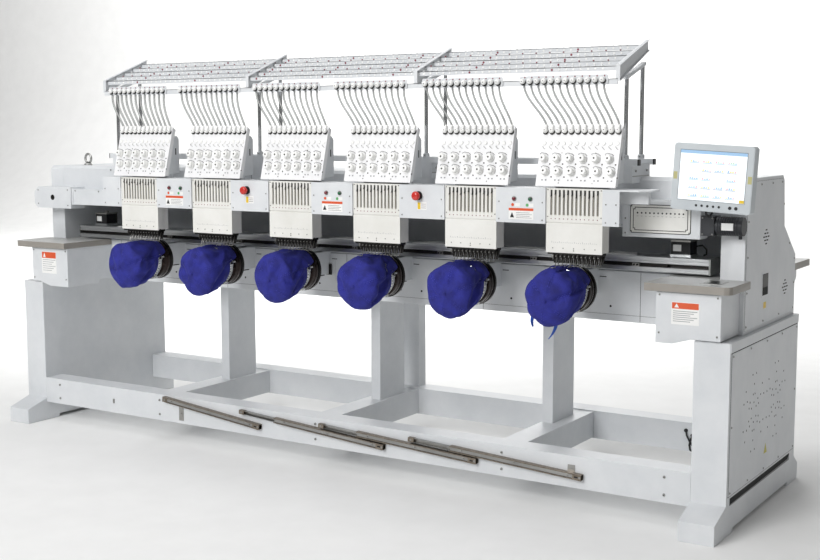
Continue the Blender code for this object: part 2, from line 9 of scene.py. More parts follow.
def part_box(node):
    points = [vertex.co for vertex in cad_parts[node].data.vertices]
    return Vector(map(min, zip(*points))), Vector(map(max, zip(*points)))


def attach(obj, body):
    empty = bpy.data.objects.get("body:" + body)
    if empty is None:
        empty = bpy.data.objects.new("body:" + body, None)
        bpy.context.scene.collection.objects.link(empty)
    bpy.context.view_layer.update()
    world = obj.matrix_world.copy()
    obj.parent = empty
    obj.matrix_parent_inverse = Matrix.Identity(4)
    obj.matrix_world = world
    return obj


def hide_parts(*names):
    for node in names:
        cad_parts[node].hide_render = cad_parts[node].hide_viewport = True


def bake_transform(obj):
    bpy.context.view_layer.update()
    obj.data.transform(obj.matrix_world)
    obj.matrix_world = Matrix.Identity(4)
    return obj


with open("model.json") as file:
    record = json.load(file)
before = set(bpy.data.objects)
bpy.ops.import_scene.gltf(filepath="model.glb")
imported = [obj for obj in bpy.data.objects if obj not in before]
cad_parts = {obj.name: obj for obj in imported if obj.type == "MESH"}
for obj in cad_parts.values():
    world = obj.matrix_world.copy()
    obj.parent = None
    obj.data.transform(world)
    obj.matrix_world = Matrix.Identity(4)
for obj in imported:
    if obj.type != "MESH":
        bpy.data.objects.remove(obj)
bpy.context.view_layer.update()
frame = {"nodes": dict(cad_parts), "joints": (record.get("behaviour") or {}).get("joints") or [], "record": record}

# Camera: stands a little right of the machine at chest height and looks slightly down the row
# of heads.
camera = bpy.data.objects.new("camera", bpy.data.cameras.new("camera"))
bpy.context.scene.collection.objects.link(camera)
camera.data.sensor_width = 36
camera.data.lens = 55.165
camera.location = (2.91654, -4.37876, 1.34046)
camera.rotation_euler = [math.radians(angle) for angle in (83.1398, 0.1231, 32.3538)]
bpy.context.scene.camera = camera

# Mains lead: round PVC-sheathed flex out of a gland on the rear of the right end frame. It runs
# over the rear foot to the floor and is wound into a coil beside its moulded plug.
stand_low, stand_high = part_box("stand_frame")
middle = Vector(((stand_low.x + stand_high.x) / 2, stand_low.y + 0.515, 0.0))


def linear(code, alpha=1.0):
    """Linear colour from an sRGB hex code."""
    parts = [int(code[i:i + 2], 16) / 255 for i in (0, 2, 4)]
    return [p / 12.92 if p <= 0.04045 else ((p + 0.055) / 1.055) ** 2.4 for p in parts] + [alpha]


def add(tree, kind, inputs=None, **settings):
    """A node with its settings; inputs take a value or another node's output."""
    made = tree.nodes.new(kind)
    for name, value in settings.items():
        setattr(made, name, value)
    for key, value in (inputs or {}).items():
        if isinstance(value, bpy.types.NodeSocket):
            tree.links.new(value, made.inputs[key])
        else:
            made.inputs[key].default_value = value
    return made


def new_finish(name, colour, roughness, metallic=0.0, **sockets):
    """A material with its even values set on the shader; returns it, its tree and its shader."""
    finish = bpy.data.materials.new(name)
    finish.use_nodes = True
    shader = finish.node_tree.nodes["Principled BSDF"]
    shader.inputs["Base Color"].default_value = linear(colour)
    shader.inputs["Roughness"].default_value = roughness
    shader.inputs["Metallic"].default_value = metallic
    for key, value in sockets.items():
        shader.inputs[key.replace("_", " ")].default_value = value
    return finish, finish.node_tree, shader


def mottle(finish, dark, light, grain_mm, depth_mm, stretch=(1, 1, 1), rough=None, patch_mm=180):
    """Slow drift between two near colours, and fine relief of a given grain size."""
    tree = finish.node_tree
    shader = tree.nodes["Principled BSDF"]
    where = add(tree, "ShaderNodeTexCoord").outputs["Object"]
    spread = add(tree, "ShaderNodeMapping", {"Vector": where, "Scale": stretch}).outputs["Vector"]
    patch = add(tree, "ShaderNodeTexNoise", {"Vector": spread, "Scale": 1000 / patch_mm,
        "Detail": 5.0, "Roughness": 0.62})
    tint = add(tree, "ShaderNodeValToRGB", {"Fac": patch.outputs["Fac"]})
    tint.color_ramp.elements[0].position = 0.32
    tint.color_ramp.elements[0].color = linear(dark)
    tint.color_ramp.elements[1].position = 0.68
    tint.color_ramp.elements[1].color = linear(light)
    tree.links.new(tint.outputs["Color"], shader.inputs["Base Color"])
    grain = add(tree, "ShaderNodeTexNoise", {"Vector": spread, "Scale": 1000 / grain_mm,
        "Detail": 3.0})
    relief = add(tree, "ShaderNodeBump", {"Height": grain.outputs["Fac"],
        "Distance": depth_mm / 1000, "Strength": 0.6})
    tree.links.new(relief.outputs["Normal"], shader.inputs["Normal"])
    if rough:
        level = add(tree, "ShaderNodeMapRange", {"Value": patch.outputs["Fac"], "To Min": rough[0],
            "To Max": rough[1]})
        tree.links.new(level.outputs["Result"], shader.inputs["Roughness"])
    return finish


def add_box(bm, low, high, slot=0):
    """Block between two corners."""
    made = bmesh.ops.create_cube(bm, size=1.0)["verts"]
    bmesh.ops.scale(bm, vec=[abs(high[i] - low[i]) for i in range(3)], verts=made)
    bmesh.ops.translate(bm, vec=[(high[i] + low[i]) / 2 for i in range(3)], verts=made)
    for face in {f for v in made for f in v.link_faces}:
        face.material_index = slot
    return made


def add_prism(bm, axis, outline, start, end, slot=0):
    """Outline across an axis, given as its other two coordinates, extruded from start to end."""
    order = {"x": (2, 0, 1), "y": (0, 2, 1), "z": (0, 1, 2)}[axis]
    rings = []
    for along in (start, end):
        ring = []
        for a, b in outline:
            point = (a, b, along)
            ring.append(bm.verts.new([point[order[i]] for i in range(3)]))
        rings.append(ring)
    faces = [bm.faces.new(rings[0]), bm.faces.new(rings[1][::-1])]
    count = len(outline)
    for i in range(count):
        j = (i + 1) % count
        faces.append(bm.faces.new((rings[0][j], rings[0][i], rings[1][i], rings[1][j])))
    for face in faces:
        face.material_index = slot
    bmesh.ops.recalc_face_normals(bm, faces=faces)
    return rings[0] + rings[1]


def add_round(bm, axis, centre, profile, sides=20, slot=0):
    """Closed profile of (radius, distance) pairs turned about an axis through centre."""
    turn = {"x": Matrix.Rotation(math.pi / 2, 4, "Y"), "y": Matrix.Rotation(-math.pi / 2, 4, "X"),
        "z": Matrix.Identity(4)}
    if isinstance(axis, str):
        place = Matrix.Translation(centre) @ turn[axis]
    else:
        place = Matrix.Translation(centre) @ Vector(axis).to_track_quat("Z",
            "Y").to_matrix().to_4x4()
    rings = []
    for radius, along in profile:
        steps = range(sides) if radius > 0 else (0,)
        rings.append([bm.verts.new(place @ Vector((
            radius * math.cos(2 * math.pi * s / sides), radius * math.sin(2 * math.pi * s / sides),
                along))) for s in steps])
    faces = []
    for one, two in zip(rings, rings[1:] + rings[:1]):
        if len(one) + len(two) == 2:
            continue
        for s in range(sides):
            t = (s + 1) % sides
            corners = (
                [one[s], two[0], one[t]] if len(two) == 1 else [one[0], two[s],
                    two[t]] if len(one) == 1
                else [one[s], two[s], two[t], one[t]])
            faces.append(bm.faces.new(corners))
    for face in faces:
        face.material_index = slot
    bmesh.ops.recalc_face_normals(bm, faces=faces)
    return [v for ring in rings for v in ring]


def add_rod(bm, start, end, radius, sides=12, slot=0, dome=0.0):
    """Round bar between two points, with an optional chamfer at its far end."""
    start, end = Vector(start), Vector(end)
    length = (end - start).length
    profile = [(0, 0), (radius, 0), (radius, length - dome), (radius - dome, length), (0, length)]
    if not dome:
        profile = [(0, 0), (radius, 0), (radius, length), (0, length)]
    return add_round(bm, end - start, start, profile, sides, slot)


def add_tube(bm, points, radius, sides=8, slot=0):
    """Tube along points, closed at both ends; radius may be one number or one for each point."""
    points = [Vector(p) for p in points]
    radii = radius if isinstance(radius, (list, tuple)) else [radius] * len(points)
    up = Vector((0, 0, 1)) if abs((points[1] - points[0]).normalized().z) < 0.9 else Vector((1, 0,
        0))
    rings = []
    for i, point in enumerate(points):
        ahead = (points[min(i + 1, len(points) - 1)] - points[max(i - 1, 0)]).normalized()
        across = ahead.cross(up).normalized()
        up = across.cross(ahead).normalized()
        rings.append([bm.verts.new(point + radii[i] * (
            across * math.cos(2 * math.pi * s / sides) + up * math.sin(2 * math.pi * s / sides)))
                for s in range(sides)])
    faces = [bm.faces.new(rings[0]), bm.faces.new(rings[-1][::-1])]
    for one, two in zip(rings, rings[1:]):
        for s in range(sides):
            t = (s + 1) % sides
            faces.append(bm.faces.new((one[s], one[t], two[t], two[s])))
    for face in faces:
        face.material_index = slot
    bmesh.ops.recalc_face_normals(bm, faces=faces)
    return [v for ring in rings for v in ring]


def make_piece(bm, name, finishes, body, bevel=0.0, replaces=(), segments=2, angle=38, shift=True):
    """Finished piece: moved from the stand's middle to its place, edges rounded, on its body."""
    mesh = bpy.data.meshes.new(name)
    if shift:
        bmesh.ops.translate(bm, vec=middle, verts=bm.verts[:])
    bm.to_mesh(mesh)
    bm.free()
    mesh.shade_smooth()
    mesh.set_sharp_from_angle(angle=math.radians(angle))
    for finish in finishes if isinstance(finishes, (list, tuple)) else [finishes]:
        mesh.materials.append(finish)
    piece = bpy.data.objects.new(name, mesh)
    bpy.context.scene.collection.objects.link(piece)
    if bevel:
        rounding = piece.modifiers.new("edge_round", "BEVEL")
        rounding.width = bevel
        rounding.segments = segments
        rounding.limit_method = "ANGLE"
        rounding.angle_limit = math.radians(angle)
        rounding.harden_normals = True
    if body:
        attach(piece, body)
    if replaces:
        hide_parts(*([replaces] if isinstance(replaces, str) else replaces))
    return piece


cord_radius = 0.00375
pvc_black, tree, shader = new_finish("pvc_flex_black", "1A1A1B", 0.5)
mottle(pvc_black, "151516", "222223", 1.5, 0.02, rough=(0.42, 0.6))
cord_route = (
    (1.600, 0.2923, 0.1550), (1.6000, 0.3120, 0.1540), (1.6030, 0.3330, 0.1440),
        (1.6090, 0.3510, 0.1240),
    (1.6170, 0.3640, 0.0980), (1.6250, 0.3740, 0.0700), (1.6300, 0.3840, 0.0430),
        (1.6290, 0.3990, 0.0200),
    (1.6190, 0.4180, 0.0070), (1.6000, 0.4350, 0.0040), (1.5740, 0.4470, 0.0040),
        (1.5420, 0.4530, 0.0040),
    (1.5050, 0.4535, 0.0040), (1.4650, 0.4527, 0.0040), (1.4300, 0.4521, 0.0040),
        (1.4003, 0.4510, 0.0040),
)
coil_x, coil_y = 1.400, 0.400
points = [Vector(p) for p in cord_route]
padded = [2 * points[0] - points[1]] + points + [2 * points[-1] - points[-2]]
lead = []
for first, start, end, last in zip(padded, padded[1:], padded[2:], padded[3:]):
    for step in range(4):
        t = step / 4
        lead.append(0.5 * (2 * start + (end - first) * t
            + (2 * first - 5 * start + 4 * end - last) * t * t
                           + (3 * start - first - 3 * end + last) * t ** 3))
turns, per_turn = 12, 28
for step in range(turns * per_turn + 1):
    turn = step / per_turn
    layer = min(3, int(turn // 3))
    within = turn - 3 * layer
    inward = within if layer % 2 == 0 else 3 - within
    radius = 0.0450 - 0.0075 * min(2.0, max(0.0, inward - 0.5))
    entry = max(0.0, 1 - step / 12)
    radius += 0.0062 * entry * entry
    rise = min(1.0, max(0.0, (within - 2.75) * 4)) if layer < 3 else 0.0
    angle = math.pi / 2 + 2 * math.pi * turn
    lead.append(Vector((coil_x + radius * math.cos(angle), coil_y + radius * math.sin(angle),
        0.0041 + 0.0073 * (layer + rise))))
last = lead[-1].copy()
for t in (0.2, 0.4, 0.6, 0.8, 1.0):
    ease = t * t * (3 - 2 * t)
    lead.append(Vector((last.x - 0.031 * t, last.y + (0.4445 - last.y) * ease,
        last.z + (0.0153 - last.z) * ease)))
flex = bpy.data.curves.new("mains_lead", "CURVE")
flex.dimensions = "3D"
flex.bevel_depth = cord_radius
flex.bevel_resolution = 3
flex.use_fill_caps = True
run = flex.splines.new("POLY")
run.points.add(len(lead) - 1)
for slot, point in zip(run.points, lead):
    slot.co = (*(point + middle), 1.0)
flex.materials.append(pvc_black)
lead_piece = bpy.data.objects.new("mains_lead", flex)
bpy.context.scene.collection.objects.link(lead_piece)
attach(lead_piece, "frame")
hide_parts("mains_cord", "mains_coil")

bm = bmesh.new()
relief = [(0.0, 0.0), (0.0072, 0.0), (0.0066, 0.004)]
for rib in range(5):
    relief += [(0.0060 - 0.0003 * rib, 0.005 + 0.004 * rib),
        (0.0066 - 0.0004 * rib, 0.0065 + 0.004 * rib)]
relief += [(0.0042, 0.026), (0.0, 0.026)]
add_round(bm, "x", (coil_x - 0.031, 0.4445, 0.0153), [(r, a - 0.026) for r, a in relief[::-1]], 14)
plug = add_box(bm, (coil_x - 0.105, 0.4265, 0.0004), (coil_x - 0.056, 0.4625, 0.0302))
for vert in plug:
    if vert.co.x > coil_x - 0.06:
        vert.co.y += (0.4445 - vert.co.y) * 0.45
        vert.co.z += (0.0153 - vert.co.z) * 0.3
for side in (-1, 1):
    add_rod(bm, (coil_x - 0.104, 0.4445 + side * 0.0095, 0.0153),
        (coil_x - 0.1238, 0.4445 + side * 0.0095, 0.0153), 0.0024, 12, 1, 0.0006)
brass = mottle(new_finish("nickel_plated_brass", "B9B4A6", 0.25, 1.0)[0], "B0AB9C", "C4BFB2", 0.6,
    0.01)
plug_piece = make_piece(bm, "mains_plug_moulding", [pvc_black, brass], "frame", 0.0022,
    "mains_plug", 3, 50)

# Stand: two end frames and long sills of welded steel box, powder coated off-white. The coat is
# thin and slightly dulled, with a faint orange-peel texture.
powder_white = mottle(new_finish("powder_coated_steel", "DADCDE", 0.42)[0], "D2D5D8", "DEE0E2", 2.2,
    0.02, rough=(0.34, 0.48))
edge_dark = mottle(new_finish("shadow_gap_black", "101011", 0.8)[0], "0C0C0D", "161617", 3, 0.02)
zinc_screw = mottle(new_finish("zinc_plated_screw", "A9A9A6", 0.3, 1.0)[0], "9A9A97", "B8B8B5", 0.8,
    0.01)
body_of_node = {name: body for body, names in frame["record"]["behaviour"]["bodies"].items()
    for name in names}


def rounded_copy(name, finish, width=0.0025, segments=2, angle=35, new_name=None):
    """Copy of a CAD node, its triangles merged to clean faces and its edges rounded."""
    bm = bmesh.new()
    bm.from_mesh(frame["nodes"][name].data)
    bmesh.ops.remove_doubles(bm, verts=bm.verts[:], dist=0.00002)
    bmesh.ops.dissolve_limit(bm, angle_limit=math.radians(1.0), verts=bm.verts[:],
        edges=bm.edges[:])
    return make_piece(bm, new_name or name + "_shell", finish, body_of_node[name], width, name,
        segments, angle, False)


def screw_heads(name, places, normal, radius, body, finish=None, socket=True):
    """Pan or socket-head screws set on points, instanced on a point cloud and made one mesh."""
    cloud = bpy.data.meshes.new(name)
    cloud.from_pydata([Vector(p) + middle for p in places], [], [])
    holder = bpy.data.objects.new(name, cloud)
    bpy.context.scene.collection.objects.link(holder)
    tree = bpy.data.node_groups.new(name, "GeometryNodeTree")
    tree.interface.new_socket("Points", in_out="INPUT", socket_type="NodeSocketGeometry")
    size = tree.interface.new_socket("Radius", in_out="INPUT", socket_type="NodeSocketFloat")
    tree.interface.new_socket("Screws", in_out="OUTPUT", socket_type="NodeSocketGeometry")
    source = add(tree, "NodeGroupInput")
    height = add(tree, "ShaderNodeMath", {0: source.outputs["Radius"], 1: 0.55},
        operation="MULTIPLY")
    top = add(tree, "ShaderNodeMath", {0: source.outputs["Radius"], 1: 0.78}, operation="MULTIPLY")
    head = add(tree, "GeometryNodeMeshCone", {
        "Vertices": 12, "Radius Bottom": source.outputs["Radius"], "Radius Top": top.outputs[0],
            "Depth": height.outputs[0]})
    inner = add(tree, "ShaderNodeMath", {0: source.outputs["Radius"], 1: 0.42},
        operation="MULTIPLY")
    deeper = add(tree, "ShaderNodeMath", {0: source.outputs["Radius"], 1: 0.58},
        operation="MULTIPLY")
    pit = add(tree, "GeometryNodeMeshCone", {
        "Vertices": 6, "Radius Bottom": inner.outputs[0], "Radius Top": inner.outputs[0],
            "Depth": deeper.outputs[0]})
    painted = add(tree, "GeometryNodeSetMaterial",
        {"Geometry": head.outputs["Mesh"], "Material": finish or zinc_screw})
    dark = add(tree, "GeometryNodeSetMaterial", {"Geometry": pit.outputs["Mesh"],
        "Material": edge_dark})
    both = add(tree, "GeometryNodeJoinGeometry", {"Geometry": painted.outputs["Geometry"]})
    if socket:
        tree.links.new(dark.outputs["Geometry"], both.inputs["Geometry"])
    turn = Vector(normal).to_track_quat("Z", "Y").to_euler()
    spread = add(tree, "GeometryNodeInstanceOnPoints", {
        "Points": source.outputs["Points"], "Instance": both.outputs["Geometry"],
            "Rotation": tuple(turn)})
    real = add(tree, "GeometryNodeRealizeInstances", {"Geometry": spread.outputs["Instances"]})
    add(tree, "NodeGroupOutput", {0: real.outputs["Geometry"]})
    setter = holder.modifiers.new("screws", "NODES")
    setter.node_group = tree
    setter[size.identifier] = radius
    bpy.context.view_layer.update()
    mesh = bpy.data.meshes.new_from_object(
        holder.evaluated_get(bpy.context.evaluated_depsgraph_get()))
    bpy.data.objects.remove(holder)
    mesh.name = name
    piece = bpy.data.objects.new(name, mesh)
    bpy.context.scene.collection.objects.link(piece)
    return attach(piece, body)


rounded_copy("stand_frame", powder_white, 0.0035)
rounded_copy("stand_end_left", powder_white, 0.0035)
rounded_copy("stand_end_right", powder_white, 0.0035)
bm = bmesh.new()
for side in (-1, 1):
    x = side * 1.6745
    reach = side * 0.0016
    add_box(bm, (x, -0.497, 0.134), (x + reach, 0.262, 0.6115), 0)
    add_box(bm, (x, -0.5125, 0.6165), (x + reach * 1.6, 0.2775, 0.6475), 0)
    for low, high in (((-0.503, 0.1315), (0.268, 0.134)), ((-0.503, 0.6115), (0.268, 0.6140)),
        ((-0.499, 0.1315), (-0.497, 0.6140)), ((0.262, 0.1315), (0.264, 0.6140))):
        add_box(bm, (x, low[0], low[1]), (x + side * 0.0003, high[0], high[1]), 1)
    for y, z in ((-0.250, 0.372), (0.010, 0.372)):
        for arm in range(6):
            angle = math.pi / 6 + arm * math.pi / 3
            for step, reach_out in enumerate((0.030, 0.056, 0.086, 0.118)):
                for turn in ((0.0,) if step % 2 == 0 else (-0.17, 0.17)):
                    spot = (x, y + reach_out * math.cos(angle + turn),
                        z + 1.15 * reach_out * math.sin(angle + turn))
                    add_rod(bm, spot, (x + reach * 1.15, spot[1], spot[2]), 0.0037, 8, 1)
    add_prism(bm, "x", [(-0.118, 0.196), (-0.082, 0.196), (-0.100, 0.232)], x, x + reach * 1.3, 2)
    add_box(bm, (x, -0.480, 0.0990), (x + side * 0.0004, 0.215, 0.1245), 1)
    add_prism(bm, "x", [(-0.476, 0.0994), (0.213, 0.0994), (0.213, 0.1180), (0.190, 0.1060),
        (-0.476, 0.1030)], x, x + side * 0.0007, 3)
caution_olive = mottle(new_finish("printed_vinyl_caution", "C2B92E", 0.4)[0], "B9B02A", "CBC236", 2,
    0.005)
slot_floor = mottle(new_finish("powder_coat_in_shade", "7E8082", 0.5)[0], "787A7C", "868889", 2,
    0.02)
make_piece(bm, "stand_end_panels", [powder_white, edge_dark, caution_olive, slot_floor], "frame",
    0.0006, (), 1)
places = [(1.6761, y, z) for y in (-0.487, -0.30, -0.1175, 0.065, 0.252) for z in (0.144,
    0.6015)] + [(1.6761, y, 0.365) for y in (-0.487, 0.252)]
screw_heads("stand_end_screws_right", places, (1, 0, 0), 0.0042, "frame")
screw_heads("stand_end_screws_left", [(-x, y, z) for x, y, z in places], (-1, 0, 0), 0.0042,
    "frame")
places = [(x, -0.5153, z) for x in (-1.46, -0.84, 0.0, 0.84, 1.46) for z in (0.112, 0.174)]
screw_heads("sill_bolts", places, (0, -1, 0), 0.0055, "frame")

# Machine bed: cast and welded body across the stand with six free arms. The arms end in a steel
# needle plate over the hook, and the front is painted like the stand.
brushed_steel = mottle(new_finish("ground_steel_plate", "B4B4B1", 0.3, 1.0)[0], "A8A8A5", "BEBEBB",
    0.9, 0.01, (1, 9, 9), (0.22, 0.36))
chrome = mottle(new_finish("chromed_steel_tube", "C6C7C8", 0.13, 1.0)[0], "BFC0C1", "CDCECF", 2.0,
    0.004)
black_oxide = mottle(new_finish("black_oxide_steel", "262423", 0.36, 0.75)[0], "1E1C1B", "2E2C2A",
    1.0, 0.01, rough=(0.28, 0.42))
heads = [0.1525 + (n - 2.5) * 0.4 for n in range(6)]
lines = [x - 0.085 for x in heads]
rounded_copy("machine_bed", powder_white, 0.003)
bm = bmesh.new()
for x in (-0.88, -0.482, -0.082, 0.317, 0.717, 1.115):
    add_box(bm, (x - 0.013, -0.2606, 0.8065), (x + 0.013, -0.259, 0.8095), 1)
for x in (-0.961, -0.559, -0.159, 0.243, 0.341, 0.741, 1.146):
    add_rod(bm, (x, -0.2595, 0.702), (x, -0.2608, 0.702), 0.0042, 10, 1)
for x in (-1.30, -0.66, -0.02, 0.62, 1.26):
    add_box(bm, (x - 0.0008, -0.2604, 0.652), (x + 0.0008, -0.259, 0.830), 1)
add_box(bm, (-1.5755, -0.2606, 0.6725), (1.5755, -0.2600, 0.6735), 1)
add_box(bm, (-0.132, -0.2625, 0.718), (-0.078, -0.2602, 0.806), 0)
add_box(bm, (-0.118, -0.271, 0.742), (-0.094, -0.2625, 0.786), 2)
make_piece(bm, "bed_front_details", [powder_white, edge_dark, black_oxide], "frame", 0.0005, (), 1)
for number, x in enumerate(lines, 1):
    bm = bmesh.new()
    add_box(bm, (x - 0.0285, -0.598, 0.8402), (x + 0.0285, -0.520, 0.8415), 0)
    add_round(bm, "z", (x, -0.578, 0.0), [(0.0022, 0.8416), (0.0085, 0.8416), (0.0085, 0.8421),
        (0.0022, 0.8421)], 18, 0)
    add_box(bm, (x - 0.0284, -0.6025, 0.768), (x + 0.0284, -0.6003, 0.834), 0)
    add_round(bm, "y", (x, -0.6004, 0.790), [(0.0, -0.005), (0.012, -0.005), (0.016, 0.0),
        (0.0, 0.0)], 18, 1)
    add_box(bm, (x - 0.0283, -0.56, 0.7415), (x + 0.0283, -0.30, 0.7449), 1)
    for side in (-1, 1):
        add_rod(bm, (x + side * 0.0278, -0.50, 0.79), (x + side * 0.0296, -0.50, 0.79), 0.006, 12,
            1)
    make_piece(bm, "sewing_arm_fittings_%d" % number, [brushed_steel, black_oxide], "frame", 0.0005,
        (), 1)
screw_heads("needle_plate_screws", [(x + side * 0.020, y, 0.8418) for x in lines for side in (-1,
    1) for y in (-0.590, -0.530)], (0, 0, 1), 0.003, "frame")

# Upper beam: long sheet-steel box that carries the sewing heads, with an arm to each head, a
# shaft housing at the left end and two rails for the thread rack.
rounded_copy("upper_beam", powder_white, 0.003)
bm = bmesh.new()
for x in (-1.246, -0.446, 0.354, 1.154):
    add_box(bm, (x - 0.0009, -0.3458, 1.000), (x + 0.0009, -0.3445, 1.170), 1)
for x in lines:
    add_box(bm, (x - 0.0458, -0.492, 1.045), (x - 0.0446, -0.37, 1.048), 1)
    add_box(bm, (x - 0.052, -0.372, 1.008), (x + 0.052, -0.3455, 1.146), 0)
    add_box(bm, (x - 0.0475, -0.500, 1.004), (x + 0.0475, -0.420, 1.0195), 2)
    add_rod(bm, (x + 0.0445, -0.44, 1.075), (x + 0.048, -0.44, 1.075), 0.013, 18, 2, 0.001)
add_rod(bm, (-1.679, -0.405, 1.040), (-1.6825, -0.405, 1.040), 0.013, 18, 2)
add_box(bm, (-1.4405, -0.4225, 0.9985), (-1.4315, -0.344, 1.0725), 0)
add_box(bm, (-1.112, -0.4225, 0.9985), (-1.099, -0.344, 1.0725), 0)
add_round(bm, "y", (-1.560, -0.4300, 1.030), [(0.0, -0.0015), (0.011, -0.0015), (0.013, 0.0),
    (0.0, 0.0)], 20, 2)
for x in (-1.53, 1.53):
    add_rod(bm, (x, -0.23, 1.173), (x, -0.23, 1.182), 0.020, 20, 3, 0.003)
    ring = [(x + 0.019 * math.cos(a), -0.23, 1.205 + 0.021 * math.sin(a))
        for a in [i * math.pi / 12 - math.pi / 2 for i in range(25)]]
    add_tube(bm, ring, 0.0055, 10, 3)
make_piece(bm, "upper_beam_fittings", [powder_white, edge_dark, black_oxide, brushed_steel],
    "frame", 0.0012)
places = [(x + d, -0.3458, z) for x in (-1.246, -0.446, 0.354, 1.154) for d in (-0.02,
    0.02) for z in (1.012, 1.158)]
screw_heads("beam_screws", places, (0, -1, 0), 0.004, "frame")
places = [(-1.655, -0.4302, z) for z in (1.000, 1.062)] + [(-1.46, -0.4302, z) for z in (0.995,
    1.066)] + [(x, -0.4206, 1.063) for x in (-1.42, -1.27, -1.12)]
screw_heads("shaft_housing_screws", places, (0, -1, 0), 0.0034, "frame")

# End cabinets: folded sheet steel, closed by a side cover held by screws round its edge, with
# clusters of cooling slots and a recessed lifting handle.
caution_yellow = mottle(new_finish("printed_vinyl_yellow", "E6C229", 0.4)[0], "E0BC24", "ECCB35", 2,
    0.005)
rounded_copy("column_left", powder_white, 0.003)
rounded_copy("column_right", powder_white, 0.003)
profile = [(-0.333, 0.662), (0.253, 0.662), (0.253, 0.868), (0.101, 0.984), (0.083, 1.148),
    (0.068, 1.162), (-0.322, 1.162), (-0.333, 1.150)]
for side, name in ((-1, "left"), (1, "right")):
    bm = bmesh.new()
    x = side * 1.6600
    add_prism(bm, "x", profile, x, x + side * 0.0016, 0)
    grown = [(-0.3338, 0.6612), (0.2538, 0.6612), (0.2538, 0.8684), (0.1018, 0.9844),
        (0.0838, 1.1484), (0.0684, 1.1628), (-0.3224, 1.1628), (-0.3338, 1.1504)]
    add_prism(bm, "x", grown, x, x + side * 0.0003, 1)
    for y, z in ((-0.118, 0.966), (0.130, 0.765)):
        for row, count in enumerate((1, 2, 3, 2, 1)):
            for item in range(count):
                slot_y = y + (item - (count - 1) / 2) * 0.026
                slot_z = z + (row - 2) * 0.012
                add_box(bm, (x + side * 0.001, slot_y - 0.010, slot_z - 0.0024),
                    (x + side * 0.0018, slot_y + 0.010, slot_z + 0.0024), 1)
    add_box(bm, (x, -0.154, 0.755), (x + side * 0.0028, -0.077, 0.844), 0)
    add_box(bm, (x, -0.147, 0.762), (x + side * 0.0032, -0.084, 0.837), 1)
    add_box(bm, (x, -0.145, 0.790), (x + side * 0.0034, -0.086, 0.835), 2)
    add_box(bm, (x, -0.128, 0.715), (x + side * 0.0019, -0.098, 0.737), 3)
    make_piece(bm, "cabinet_cover_" + name, [powder_white, edge_dark, black_oxide, caution_yellow],
        "frame", 0.0008, (), 1)
    edge = [(-0.322, z) for z in (0.675, 0.79, 0.91, 1.03, 1.148)] + [(0.242, 0.675), (0.242, 0.77),
        (0.242, 0.86)]
    edge += [(-0.13, 0.673), (0.06, 0.673), (0.170, 0.922), (0.089, 1.07), (0.055, 1.150),
        (-0.06, 1.150), (-0.19, 1.150)]
    screw_heads("cabinet_screws_" + name, [(side * 1.6617, y, z) for y, z in edge], (side, 0, 0),
        0.0042, "frame")

# Side boxes and worktops: sheet-steel boxes hung on the cabinets, capped by particle-board tops
# with a light laminate face and a taupe edge. Orange-and-white labels carry no words.
laminate = mottle(new_finish("melamine_laminate", "B9B9B7", 0.32)[0], "B2B2B0", "C0C0BE", 1.2, 0.01,
    rough=(0.26, 0.4))
taupe_edge = mottle(new_finish("abs_edge_band_taupe", "948F88", 0.4)[0], "8D8881", "9C9790", 1.5,
    0.01)
label_orange = mottle(new_finish("printed_vinyl_orange", "D9552B", 0.4)[0], "D25026", "DF5C31", 2,
    0.005)
label_white = mottle(new_finish("printed_vinyl_white", "EFEFED", 0.4)[0], "EAEAE8", "F3F3F1", 2,
    0.005)
label_grey = mottle(new_finish("printed_ink_grey", "9EA0A2", 0.5)[0], "96989A", "A6A8AA", 2, 0.005)
for name, side in (("left", -1), ("right", 1)):
    bm = bmesh.new()
    bm.from_mesh(frame["nodes"]["side_table_" + name].data)
    bmesh.ops.remove_doubles(bm, verts=bm.verts[:], dist=0.00002)
    bmesh.ops.dissolve_limit(bm, angle_limit=math.radians(1.0), verts=bm.verts[:],
        edges=bm.edges[:])
    for face in bm.faces:
        centre = face.calc_center_median()
        if centre.z > 0.8345:
            face.material_index = 1
        elif centre.z > 0.8125:
            face.material_index = 2
        elif centre.z > 0.8075 and face.normal.z < -0.9:
            face.material_index = 1
    make_piece(bm, "side_box_" + name, [powder_white, laminate, taupe_edge], "frame", 0.0018,
        "side_table_" + name, 2, 35, False)
for name, x0, x1, z0, z1 in (("left", -1.531, -1.437, 0.691, 0.790),
    ("right", 1.478, 1.573, 0.700, 0.7745)):
    bm = bmesh.new()
    add_box(bm, (x0, -0.5322, z0), (x1, -0.5314, z1), 0)
    split = z1 - 0.3 * (z1 - z0)
    add_box(bm, (x0 + 0.002, -0.5325, split), (x1 - 0.002, -0.5314, z1 - 0.002), 1)
    tri = [(x0 + 0.010, split + 0.004), (x0 + 0.026, split + 0.004), (x0 + 0.018, z1 - 0.005)]
    add_prism(bm, "y", tri, -0.5328, -0.5314, 0)
    for row in range(6):
        z = split - 0.008 - row * (split - z0 - 0.012) / 6
        add_box(bm, (x0 + 0.006, -0.5324, z - 0.0012),
            (x1 - 0.006 - 0.012 * (row % 3), -0.5314, z + 0.0012), 2)
    make_piece(bm, "safety_label_" + name, [label_white, label_orange, label_grey], "frame")
bm = bmesh.new()
add_box(bm, (1.560, -0.500, 0.8347), (1.628, -0.405, 0.8362), 0)
add_box(bm, (1.568, -0.486, 0.8347), (1.620, -0.478, 0.8366), 1)
add_box(bm, (1.568, -0.455, 0.8347), (1.602, -0.449, 0.8366), 1)
for x0, x1 in ((-1.594, -1.3648), (1.4235, 1.646)):
    add_box(bm, (x0 + 0.004, -0.5322, 0.8035), (x1 - 0.004, -0.5314, 0.8045), 1)
make_piece(bm, "worktop_plate", [brushed_steel, edge_dark], "frame", 0.0004, (), 1)
